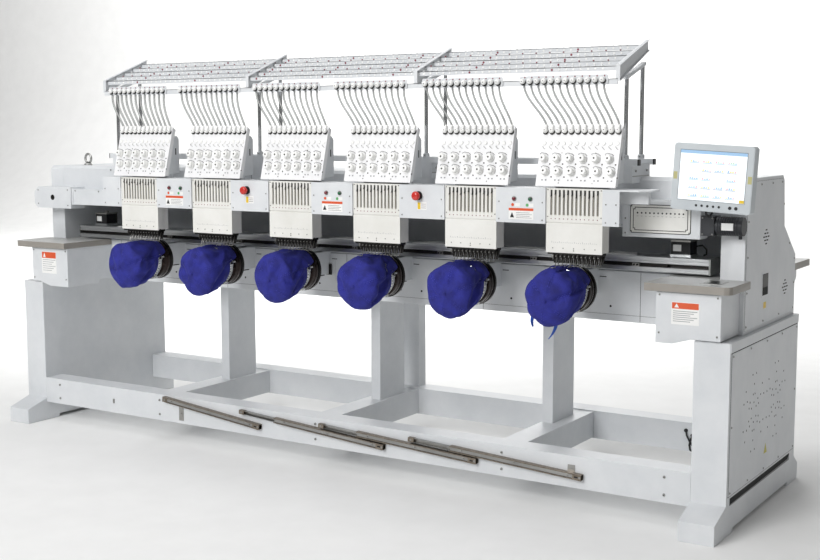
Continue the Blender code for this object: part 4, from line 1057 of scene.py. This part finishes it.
for x in (-1.450, 1.372):
    add_box(bm, (x, -0.2750, 0.8970), (x + 0.075, -0.2020, 0.9040), 0)
    add_box(bm, (x + 0.003, -0.2725, 0.9040), (x + 0.072, -0.2045, 0.9500), 4)
    add_box(bm, (x + 0.001, -0.2740, 0.9480), (x + 0.074, -0.2030, 0.9545), 5)
    add_box(bm, (x + 0.010, -0.2732, 0.9150), (x + 0.040, -0.2724, 0.9380), 6)
    add_rod(bm, (x + 0.0375, -0.2385, 0.9545), (x + 0.0375, -0.2385, 0.9620), 0.011, 20, 5, 0.001)
loop = [(1.447, -0.215, 0.930), (1.468, -0.212, 0.934), (1.484, -0.218, 0.920),
    (1.487, -0.226, 0.904), (1.478, -0.232, 0.901)]
add_tube(bm, loop, 0.003, 8, 4)
for number, x in enumerate(lines):
    seat = [(0.0735, -0.4125), (0.0865, -0.4125), (0.0865, -0.4005), (0.0735, -0.4005)]
    add_round(bm, "y", (x, 0.0, 0.777), seat, 48, 2)
    add_box(bm, (x - 0.020, -0.4035, 0.8448), (x + 0.020, -0.3150, 0.8568), 0)
    for side in (-1, 1):
        add_box(bm, (x + side * 0.028 - 0.006, -0.4020, 0.8350),
            (x + side * 0.028 + 0.006, -0.3900, 0.8560), 5)
        add_rod(bm, (x + side * 0.012, -0.3600, 0.8566), (x + side * 0.012, -0.3600, 0.8605),
            0.0045, 12, 5)
make_piece(bm, "moving_rail", [extruded, anodised_grey, black_oxide, nylon_white, motor_black,
    satin_steel, label_white], "pantograph", 0.0007, "pantograph_beam", 1)
bm = bmesh.new()
add_box(bm, (-1.380, -0.3185, 0.8612), (1.380, -0.3045, 0.8718), 0)
for x in lines + [line + 0.2 for line in lines]:
    add_box(bm, (x - 0.013, -0.3290, 0.8605), (x + 0.013, -0.3180, 0.8725), 1)
    add_rod(bm, (x - 0.006, -0.3290, 0.8665), (x - 0.006, -0.3345, 0.8665), 0.0034, 10, 0)
    add_rod(bm, (x + 0.006, -0.3290, 0.8665), (x + 0.006, -0.3345, 0.8665), 0.0034, 10, 0)
make_piece(bm, "ring_drive_bar", [black_oxide, satin_steel], "drive_bar", 0.0006, "cap_drive_bar",
    1)

# Cap rings: blackened steel hoops on the rail. Each cap frame, a bright perforated band with
# toothed clips, locks on to a ring and turns with it.
ring_brown = mottle(new_finish("blued_spring_steel", "2A2220", 0.22, 0.85)[0], "211A19", "372C28",
    1.6, 0.01, rough=(0.16, 0.3))
for number, x in enumerate(lines, 1):
    centre = (x, 0.0, 0.777)
    bm = bmesh.new()
    hoop = [(0.0742, -0.4648), (0.0820, -0.4648), (0.0848, -0.4610), (0.0848, -0.4500),
        (0.0836, -0.4490), (0.0836, -0.4330), (0.0848, -0.4320), (0.0848, -0.4150),
        (0.0840, -0.4137), (0.0742, -0.4137)]
    add_round(bm, "y", centre, hoop, 64, 0)
    band = [(0.0788, -0.5120), (0.0800, -0.5120), (0.0800, -0.4660), (0.0788, -0.4660)]
    add_round(bm, "y", centre, band, 64, 1)
    for lip in (-0.5115, -0.4700):
        add_round(bm, "y", centre, [(0.0795, lip - 0.002), (0.0812, lip - 0.0015),
            (0.0812, lip + 0.0015), (0.0795, lip + 0.002)], 64, 1)
    for item in range(44):
        angle = 2 * math.pi * item / 44
        for row in range(3):
            a = angle + (0.5 * 2 * math.pi / 44 if row == 1 else 0.0)
            reach = Vector((math.cos(a), 0.0, math.sin(a)))
            spot = Vector((x, -0.4790 - row * 0.0105, 0.777)) + reach * 0.0798
            add_rod(bm, spot, spot + reach * 0.0005, 0.0028, 6, 2)
    for item in range(5):
        angle = math.radians(-60 + item * 72)
        reach = Vector((math.cos(angle), 0.0, math.sin(angle)))
        side = Vector((-math.sin(angle), 0.0, math.cos(angle)))
        spot = Vector((x, -0.4700, 0.777)) + reach * 0.0835
        add_rod(bm, spot - side * 0.012, spot + side * 0.012, 0.0024, 8, 1)
        for end in (-1, 1):
            add_tube(bm, [spot + side * end * 0.012,
                spot + side * end * 0.010 + Vector((0, -0.012, 0)) + reach * 0.002,
                spot + side * end * 0.004 + Vector((0, -0.024, 0)) + reach * 0.001], 0.0016, 6, 1)
        add_rod(bm, spot + Vector((0, 0.0015, 0)), spot + Vector((0, 0.014, 0)) + reach * 0.001,
            0.0042, 10, 1, 0.001)
    make_piece(bm, "cap_ring_hoop_%d" % number, [ring_brown, chrome, edge_dark],
        "cap_frame_%d" % number, 0, "cap_ring_%d" % number)

# Caps: six-panel caps in royal-blue cotton twill, stretched over the frames with the crown toward
# the operator. The loose crown is draped by a cloth simulation, and each seam has two rows of
# stitches.
twill, tree, shader = new_finish("cotton_twill_royal_blue", "22267E", 0.82, Sheen_Weight=0.15,
    Sheen_Roughness=0.45)
shader.inputs["Sheen Tint"].default_value = linear("7C84E0")
where = add(tree, "ShaderNodeTexCoord").outputs["Object"]
# twill lines are 0.5 mm apart in the cloth and drawn at 1.6 mm so that they show
cloth_turn = add(tree, "ShaderNodeMapping", {"Vector": where,
    "Rotation": (0.4, 0.6, 0.8)}).outputs["Vector"]
rib = add(tree, "ShaderNodeTexWave", {"Vector": cloth_turn, "Scale": 100.0, "Distortion": 0.6,
    "Detail": 1.0, "Detail Scale": 2.0})
slub = add(tree, "ShaderNodeTexNoise", {"Vector": where, "Scale": 900.0, "Detail": 2.0})
cloud = add(tree, "ShaderNodeTexNoise", {"Vector": where, "Scale": 26.0, "Detail": 4.0})
tone = add(tree, "ShaderNodeMath", {0: cloud.outputs["Fac"], 1: slub.outputs["Fac"]},
    operation="MULTIPLY")
ramp = add(tree, "ShaderNodeValToRGB", {"Fac": tone.outputs[0]})
ramp.color_ramp.elements[0].position = 0.12
ramp.color_ramp.elements[0].color = linear("161866")
ramp.color_ramp.elements[1].position = 0.42
ramp.color_ramp.elements[1].color = linear("292E9A")
tree.links.new(ramp.outputs["Color"], shader.inputs["Base Color"])
height = add(tree, "ShaderNodeMath", {0: rib.outputs["Fac"], 1: slub.outputs["Fac"]},
    operation="ADD")
bump = add(tree, "ShaderNodeBump", {"Height": height.outputs[0], "Distance": 0.0003,
    "Strength": 0.7})
tree.links.new(bump.outputs["Normal"], shader.inputs["Normal"])
stitch_blue = mottle(new_finish("polyester_stitch_blue", "3C43B4", 0.55)[0], "363CA8", "444CC0",
    0.5, 0.01)
strap_blue = mottle(new_finish("woven_strap_blue", "2F58B8", 0.8)[0], "2A50AC", "3863C6", 0.9, 0.03)
crown = [(-0.4665, 0.0862), (-0.480, 0.0862), (-0.500, 0.0862), (-0.525, 0.0866), (-0.550, 0.0866),
    (-0.575, 0.0856), (-0.595, 0.0832),
         (-0.604, 0.0800), (-0.611, 0.0740), (-0.616, 0.0670), (-0.6205, 0.0560), (-0.6235, 0.0430),
             (-0.6255, 0.0290), (-0.6265, 0.0145), (-0.6270, 0.0)]


def crown_radius(y):
    """Rest radius of the cap at a depth."""
    for (y0, r0), (y1, r1) in zip(crown, crown[1:]):
        if y0 >= y >= y1:
            return r0 + (r1 - r0) * (y - y0) / (y1 - y0)
    return crown[0][1]


def cap_point(number, angle, t):
    """Point of an unsettled cap: angle from +X toward +Z, t from rim to crown. Six soft panels."""
    high = min(1.0, max(0.0, (math.sin(angle) - 0.15) / 0.3))
    high = high * high * (3 - 2 * high)
    rim = -0.4420 * high - 0.4960 * (1 - high) + 0.003 * math.sin(3 * angle + number) * (1 - high)
    y = rim + (-0.6260 - rim) * (math.sin(t * math.pi / 2) ** 0.92 if t > 0 else 0.0)
    eased = min(1.0, t * 4)
    low = max(0.0, -math.sin(angle))
    reach = crown_radius(y) + 0.004 * math.sin(math.pi * min(1.0, t)) * (0.4 + low)
    sway = noise.noise(Vector((math.cos(angle) * 2.2, y * 25 + number * 7.3,
        math.sin(angle) * 2.2)))
    lobe = abs(math.sin(3 * (angle - 0.5 - 0.13 * number))) ** 0.7
    reach += 0.006 * sway * eased + 0.005 * (lobe - 0.5) * min(1.0, t * 3)
    return Vector((reach * math.cos(angle), y, reach * math.sin(angle)))


around, along = 84, 42
shells = []
for number, x in enumerate(lines, 1):
    bm = bmesh.new()
    rings = []
    for i in range(along):
        rings.append([bm.verts.new(cap_point(number, 2 * math.pi * j / around,
            i / along)) for j in range(around)])
    tip = bm.verts.new((0.0, -0.6260, 0.0))
    for one, two in zip(rings, rings[1:]):
        for j in range(around):
            k = (j + 1) % around
            bm.faces.new((one[j], one[k], two[k], two[j]))
    for j in range(around):
        bm.faces.new((rings[-1][j], rings[-1][(j + 1) % around], tip))
    bmesh.ops.recalc_face_normals(bm, faces=bm.faces[:])
    if sum(f.normal.dot(f.calc_center_median() - Vector((0, -0.55, 0))) for f in bm.faces) < 0:
        bmesh.ops.reverse_faces(bm, faces=bm.faces[:])
    bmesh.ops.translate(bm, vec=(x, 0.0, 0.777), verts=bm.verts[:])
    shells.append(make_piece(bm, "cap_cloth_%d" % number, [twill], "cap_frame_%d" % number, 0,
        "cap_%d" % number, angle=80))

# The cloth is let fall for a second over a round former the size of the swept arm, held at its rim.
formers = []
for number, (x, shell) in enumerate(zip(lines, shells), 1):
    held = shell.vertex_groups.new(name="rim")
    held.add(list(range(around * 4)), 1.0, "REPLACE")
    drape = shell.modifiers.new("drape", "CLOTH")
    cloth = drape.settings
    cloth.quality = 7
    cloth.mass = 0.12
    cloth.tension_stiffness = cloth.compression_stiffness = 40
    cloth.shear_stiffness = 20
    cloth.bending_stiffness = 9
    cloth.air_damping = 2.0
    cloth.shrink_min = cloth.shrink_max = -0.11
    cloth.effector_weights.gravity = 0.40
    cloth.vertex_group_mass = "rim"
    drape.collision_settings.distance_min = 0.0015
    drape.collision_settings.use_self_collision = False
    drape.point_cache.frame_end = 26
    bm = bmesh.new()
    for radius, front in ((0.0762, -0.6050), (0.0700, -0.6085), (0.0600, -0.6105)):
        add_rod(bm, (x, front, 0.777), (x, -0.4400, 0.777), radius, 48)
    former = make_piece(bm, "former_%d" % number, [], None)
    former.modifiers.new("touch", "COLLISION")
    former.collision.thickness_outer = 0.0015
    formers.append(former)
for moment in range(1, 27):
    bpy.context.scene.frame_set(moment)
for shell in shells:
    settled = bpy.data.meshes.new_from_object(
        shell.evaluated_get(bpy.context.evaluated_depsgraph_get()))
    for vert, rest in zip(settled.vertices, shell.data.vertices):
        rest.co = vert.co
    shell.data.update()
    bpy.data.meshes.remove(settled)
for shell in shells:
    shell.modifiers.remove(shell.modifiers["drape"])
    shell.vertex_groups.clear()
for former in formers:
    bpy.data.objects.remove(former)
bpy.context.scene.frame_set(1)
for number, (x, shell) in enumerate(zip(lines, shells), 1):
    spots = [vert.co - middle for vert in shell.data.vertices]
    normals = [vert.normal.copy() for vert in shell.data.vertices]
    thick = shell.modifiers.new("cloth_thickness", "SOLIDIFY")
    thick.thickness = 0.0013
    thick.offset = -1.0
    bm = bmesh.new()
    for seam in range(6):
        column = (4 + 14 * seam) % around
        for side in (-1, 1):
            beside = (column + side) % around
            walk = []
            for i in range(2, along - 4):
                spread = (spots[i * around + beside] - spots[i * around + column]).length
                share = min(0.95, 0.0034 / spread)
                walk.append(spots[i * around + column].lerp(spots[i * around + beside],
                    share) + normals[i * around + column] * 0.0004)
            for start, end in zip(walk[0::2], walk[1::2]):
                add_tube(bm, [start, (start + end) / 2 + (start + end - Vector((2 * x,
                    start.y + end.y, 1.554))).normalized() * 0.0003, end], 0.00045, 5, 0)
        ridge = [spots[i * around + column] + normals[i * around + column] * 0.0001
            for i in range(1, along)]
        add_tube(bm, ridge, 0.0008, 6, 1)
    peak = spots[-1]
    add_round(bm, "y", (peak.x, peak.y, peak.z),
        [(0.0, -0.0040), (0.0035, -0.0036), (0.0062, -0.0016), (0.0066, 0.0010), (0.0, 0.0010)], 16,
        1)
    hem = [spots[j % around] for j in range(around + 1)]
    add_tube(bm, hem, 0.0012, 6, 1)
    make_piece(bm, "cap_seams_%d" % number, [stitch_blue, twill], "cap_frame_%d" % number)
bm = bmesh.new()
for start, bend, end in (((lines[5] - 0.060, -0.600, 0.706), (-0.006, -0.012, -0.024),
    (-0.004, 0.004, -0.046)), ((lines[5] + 0.006, -0.560, 0.680), (0.004, -0.002, -0.030),
    (-0.030, 0.004, -0.066))):
    path = []
    for step in range(11):
        t = step / 10
        path.append(Vector([start[i] + 2 * t * (1 - t) * bend[i] + t * t * end[i]
            for i in range(3)]))
    rows = []
    for step, point in enumerate(path):
        turn = 0.5 + 0.12 * step
        across = Vector((math.cos(turn), math.sin(turn), 0.0)) * 0.0065
        face = Vector((-math.sin(turn), math.cos(turn), 0.0)) * 0.0007
        rows.append([bm.verts.new(point + across * a + face * b) for a, b in ((-1, -1), (1, -1),
            (1, 1), (-1, 1))])
    for one, two in zip(rows, rows[1:]):
        for j in range(4):
            bm.faces.new((one[j], one[(j + 1) % 4], two[(j + 1) % 4], two[j]))
    bm.faces.new(rows[0][::-1])
    bm.faces.new(rows[-1])
bmesh.ops.recalc_face_normals(bm, faces=bm.faces[:])
make_piece(bm, "cap_straps", [strap_blue], "cap_frame_6")

# Thread rack: two chromed uprights at each of four feet hold sloping cheeks, and drilled steel bars
# run between the cheeks to guide twelve threads to every head.
for number in (1, 2, 3, 4):
    low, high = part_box("rack_stanchion_%d" % number)
    x = (low.x + high.x) / 2 - middle.x
    bm = bmesh.new()
    tops = []
    for y in (-0.410, -0.270):
        top = 1.552 + (y + 0.4843) * 0.38075 - 0.066
        tops.append(top)
        add_rod(bm, (x, y, 1.2352), (x, y, top), 0.0075, 20, 0)
        add_round(bm, "z", (x, y, 0.0), [(0.0, 1.2352), (0.0125, 1.2352), (0.0125, 1.2480),
            (0.0105, 1.2500), (0.0, 1.2500)], 20, 1)
        add_rod(bm, (x, y - 0.0120, 1.2420), (x, y - 0.0165, 1.2420), 0.0030, 8, 2)
    tie = [(-0.420, tops[0] - 0.008), (-0.260, tops[1] - 0.008), (-0.260, tops[1] + 0.004),
        (-0.420, tops[0] + 0.004)]
    add_prism(bm, "x", tie, x - 0.0095, x + 0.0095, 1)
    make_piece(bm, "rack_upright_%d" % number, [chrome, powder_white, satin_steel], "frame", 0.0008,
        "rack_stanchion_%d" % number)
bm = bmesh.new()
left_end, right_end = 0.0555 - 1.2, 0.0555 + 1.2
for x in (left_end, left_end + 0.8, left_end + 1.6, right_end):
    cheek = [(-0.4843, 1.500), (-0.4780, 1.4985), (-0.2256, 1.6120), (-0.2256, 1.6465),
        (-0.2300, 1.6500), (-0.4800, 1.5545), (-0.4843, 1.5500)]
    add_prism(bm, "x", cheek, x - 0.0018, x + 0.0018, 0)
    for low, high in (((-0.4843, 1.5500), (-0.2256, 1.6485)),
        ((-0.4800, 1.4985), (-0.2256, 1.6120))):
        flange = [low, high, (high[0], high[1] + 0.0025), (low[0], low[1] + 0.0025)]
        add_prism(bm, "x", flange, x - 0.0078, x + 0.0078, 0)
    add_box(bm, (x - 0.0078, -0.4868, 1.4985), (x + 0.0078, -0.4838, 1.5525), 0)
add_box(bm, (left_end, -0.4883, 1.4872), (right_end, -0.4843, 1.5068), 0)
add_box(bm, (left_end, -0.4883, 1.5040), (right_end, -0.4786, 1.5068), 0)
pitch_x = 0.0273
for row, y in enumerate((-0.462, -0.410, -0.358, -0.306, -0.250)):
    z = 1.552 + (y + 0.4843) * 0.38075 - 0.012
    add_box(bm, (left_end, y - 0.010, z - 0.0015), (right_end, y + 0.010, z + 0.0015), 0)
    add_box(bm, (left_end, y - 0.0100, z - 0.0150), (right_end, y - 0.0084, z + 0.0015), 0)
    count = int((right_end - left_end - 0.06) / pitch_x)
    for item in range(count):
        x = left_end + 0.038 + item * pitch_x
        if row % 2 == 0:
            add_round(bm, "z", (x, y + 0.001, z), [(0.0022, 0.0014), (0.0050, 0.0014),
                (0.0050, 0.0030), (0.0034, 0.0042), (0.0022, 0.0042)], 10, 1)
        elif item % 2 == 0:
            add_rod(bm, (x, y, z + 0.0014), (x, y, z + 0.0060), 0.0030, 8, 2)
        add_rod(bm, (x + 0.008, y - 0.0095, z - 0.0070), (x + 0.008, y - 0.0112, z - 0.0070),
            0.0040, 10, 2 if item % 12 == 5 else 1)
make_piece(bm, "rack_bars", [powder_white, nylon_white, print_red], "frame", 0.0004, "rack_grid", 1)
bm = bmesh.new()
for y in (-0.410, -0.270):
    for x in (left_end - 0.05, right_end + 0.05):
        add_box(bm, (x - 0.0022, y - 0.0104, 1.2141), (x + 0.0022, y + 0.0104, 1.2349), 0)
for x in (left_end, left_end + 0.8, left_end + 1.6, right_end):
    add_box(bm, (x - 0.0305, -0.4185, 1.1755), (x + 0.0305, -0.2615, 1.1790), 1)
    for y in (-0.3900, -0.2900):
        for side in (-1, 1):
            add_rod(bm, (x + side * 0.0300, y, 1.195), (x + side * 0.0335, y, 1.195), 0.0042, 10, 1)
make_piece(bm, "rack_feet", [ink_black, satin_steel], "frame", 0.0006, (), 1)

# Table stays: four telescopic channels of galvanised steel, folded flat against the front sill
# and pivoted on their right ends. Three show their slimmer inner channel.
galvanised = mottle(new_finish("galvanised_channel_steel", "857C70", 0.36, 1.0)[0], "73695E",
    "978E82", 2.4, 0.02, (3, 3, 3), (0.28, 0.46), 40)
stays = (((-0.805, 0.186), (-0.271, 0.128)), ((-0.378, 0.182), (0.338, 0.127)),
    ((0.028, 0.175), (0.746, 0.130)), ((0.449, 0.175), (1.166, 0.130)))
for number, (left, right) in enumerate(stays, 1):
    left, right = Vector((left[0], 0.0, left[1])), Vector((right[0], 0.0, right[1]))
    along = (right - left).normalized()
    length = (right - left).length - 0.0020
    across = Vector((-along.z, 0.0, along.x))

    def bar(bm, s0, s1, w0, w1, y0, y1, slot=0):
        corners = [left + along * s + across * w for s, w in ((s0, w0), (s1, w0), (s1, w1),
            (s0, w1))]
        add_prism(bm, "y", [(c.x, c.z) for c in corners], y0, y1, slot)

    bm = bmesh.new()
    inner = 0.182 if number > 1 else 0.0
    bar(bm, inner, length, -0.0108, 0.0108, -0.5175, -0.5157)
    bar(bm, inner, length, 0.0092, 0.0108, -0.5360, -0.5165)
    bar(bm, inner, length, -0.0108, -0.0092, -0.5360, -0.5165)
    bar(bm, inner, length, 0.0070, 0.0108, -0.5362, -0.5350)
    bar(bm, inner, length, -0.0108, -0.0070, -0.5362, -0.5350)
    bar(bm, inner + 0.004, length - 0.02, -0.0062, 0.0062, -0.5335, -0.5240, 1)
    if inner:
        bar(bm, 0.0, inner + 0.02, -0.0072, 0.0072, -0.5215, -0.5195, 1)
        bar(bm, 0.0, inner + 0.02, 0.0060, 0.0072, -0.5330, -0.5200, 1)
        bar(bm, 0.0, inner + 0.02, -0.0072, -0.0060, -0.5330, -0.5200, 1)
    bar(bm, 0.0, 0.026, -0.0085, 0.0085, -0.5355, -0.5190, 0)
    bar(bm, length - 0.034, length, -0.0112, 0.0112, -0.5365, -0.5345, 0)
    bar(bm, length - 0.026, length - 0.012, -0.0028, 0.0028, -0.5368, -0.5360, 2)
    for s in (0.013, inner + 0.05, (inner + length) / 2, length - 0.055, length - 0.006):
        spot = left + along * s
        add_rod(bm, (spot.x, -0.5325, spot.z), (spot.x, -0.5368, spot.z), 0.0045, 12, 1)
    make_piece(bm, "telescopic_stay_%d" % number, [galvanised, satin_steel, edge_dark],
        "table_stay_%d" % number, 0.0004, "table_stay_%d" % number, 1)
bm = bmesh.new()
for x, z, w, h in ((-0.714, 0.130, 0.013, 0.062), (-1.117, 0.138, 0.005, 0.020),
    (1.118, 0.156, 0.014, 0.025)):
    add_box(bm, (x - w, -0.5172, z - h / 2), (x + w, -0.5152, z + h / 2), 0)
    add_rod(bm, (x, -0.5172, z), (x, -0.5195, z), 0.0035, 10, 0)
make_piece(bm, "sill_brackets", [satin_steel], "frame", 0.0004, (), 1)
bm = bmesh.new()
wire = [(1.282, 0.1805, 0.168), (1.288, 0.1740, 0.150), (1.302, 0.1700, 0.128),
    (1.318, 0.1690, 0.108), (1.324, 0.1700, 0.094), (1.316, 0.1705, 0.088), (1.304, 0.1700, 0.096),
    (1.300, 0.1720, 0.114), (1.304, 0.1765, 0.136), (1.308, 0.1805, 0.150)]
add_tube(bm, wire, 0.0038, 8, 0)
for x, z in ((1.282, 0.168), (1.308, 0.150)):
    add_rod(bm, (x, 0.1831, z), (x, 0.1790, z), 0.0075, 14, 0)
make_piece(bm, "wiring_loop", [pvc_black], "frame")

# Studio: one pale floor that turns up into a wall, a large soft key from the front, a weak
# fill from the right, a rear light and an even overhead light.
backdrop = mottle(new_finish("studio_paper", "F1F1F0", 0.9)[0], "EFEFEE", "F3F3F2", 4, 0.01)
bm = bmesh.new()
sweep = [(-9.0, 0.0), (7.0, 0.0)] + [(7.0 + 2.5 * math.sin(a),
    2.5 - 2.5 * math.cos(a)) for a in [i * math.pi / 20 for i in range(1, 11)]] + [(9.5, 9.0)]
for (y0, z0), (y1, z1) in zip(sweep, sweep[1:]):
    corners = [bm.verts.new((x, y, z)) for x, y, z in ((-16, y0, z0), (16, y0, z0), (16, y1, z1),
        (-16, y1, z1))]
    bm.faces.new(corners)
bmesh.ops.remove_doubles(bm, verts=bm.verts[:], dist=0.001)
floor = make_piece(bm, "studio_floor", backdrop, None, angle=80, shift=False)
floor.location.z = -0.0005
floor.data.transform(floor.matrix_world)
floor.location.z = 0.0
for name, place, aim, size, power in (
    ("key_light", (-0.6, -7.4, 4.2), (0, -0.3, 0.7), 3.2, 370),
    ("fill_light", (5.2, -3.6, 2.6), (0.3, 0, 0.8), 3.0, 4),
    ("overhead_light", (-0.6, -0.6, 5.2), (0, 0, 0), 5.0, 125),
    ("rear_light", (-1.5, 5.0, 3.6), (0, 0.5, 0.8), 3.0, 70),
    ("wall_light", (-5.0, 2.6, 6.0), (-6.5, 9.5, 2.0), 7.0, 950),
):
    lamp = bpy.data.lights.new(name, "AREA")
    lamp.size = size
    lamp.energy = power
    holder = bpy.data.objects.new(name, lamp)
    holder.location = place
    holder.rotation_euler = (Vector(aim) - Vector(place)).to_track_quat("-Z", "Y").to_euler()
    bpy.context.scene.collection.objects.link(holder)
world = bpy.data.worlds.new("studio_air")
world.use_nodes = True
world.node_tree.nodes["Background"].inputs["Color"].default_value = linear("FFFFFF")
world.node_tree.nodes["Background"].inputs["Strength"].default_value = 0.22
bpy.context.scene.world = world
bpy.context.scene.view_settings.view_transform = "Standard"
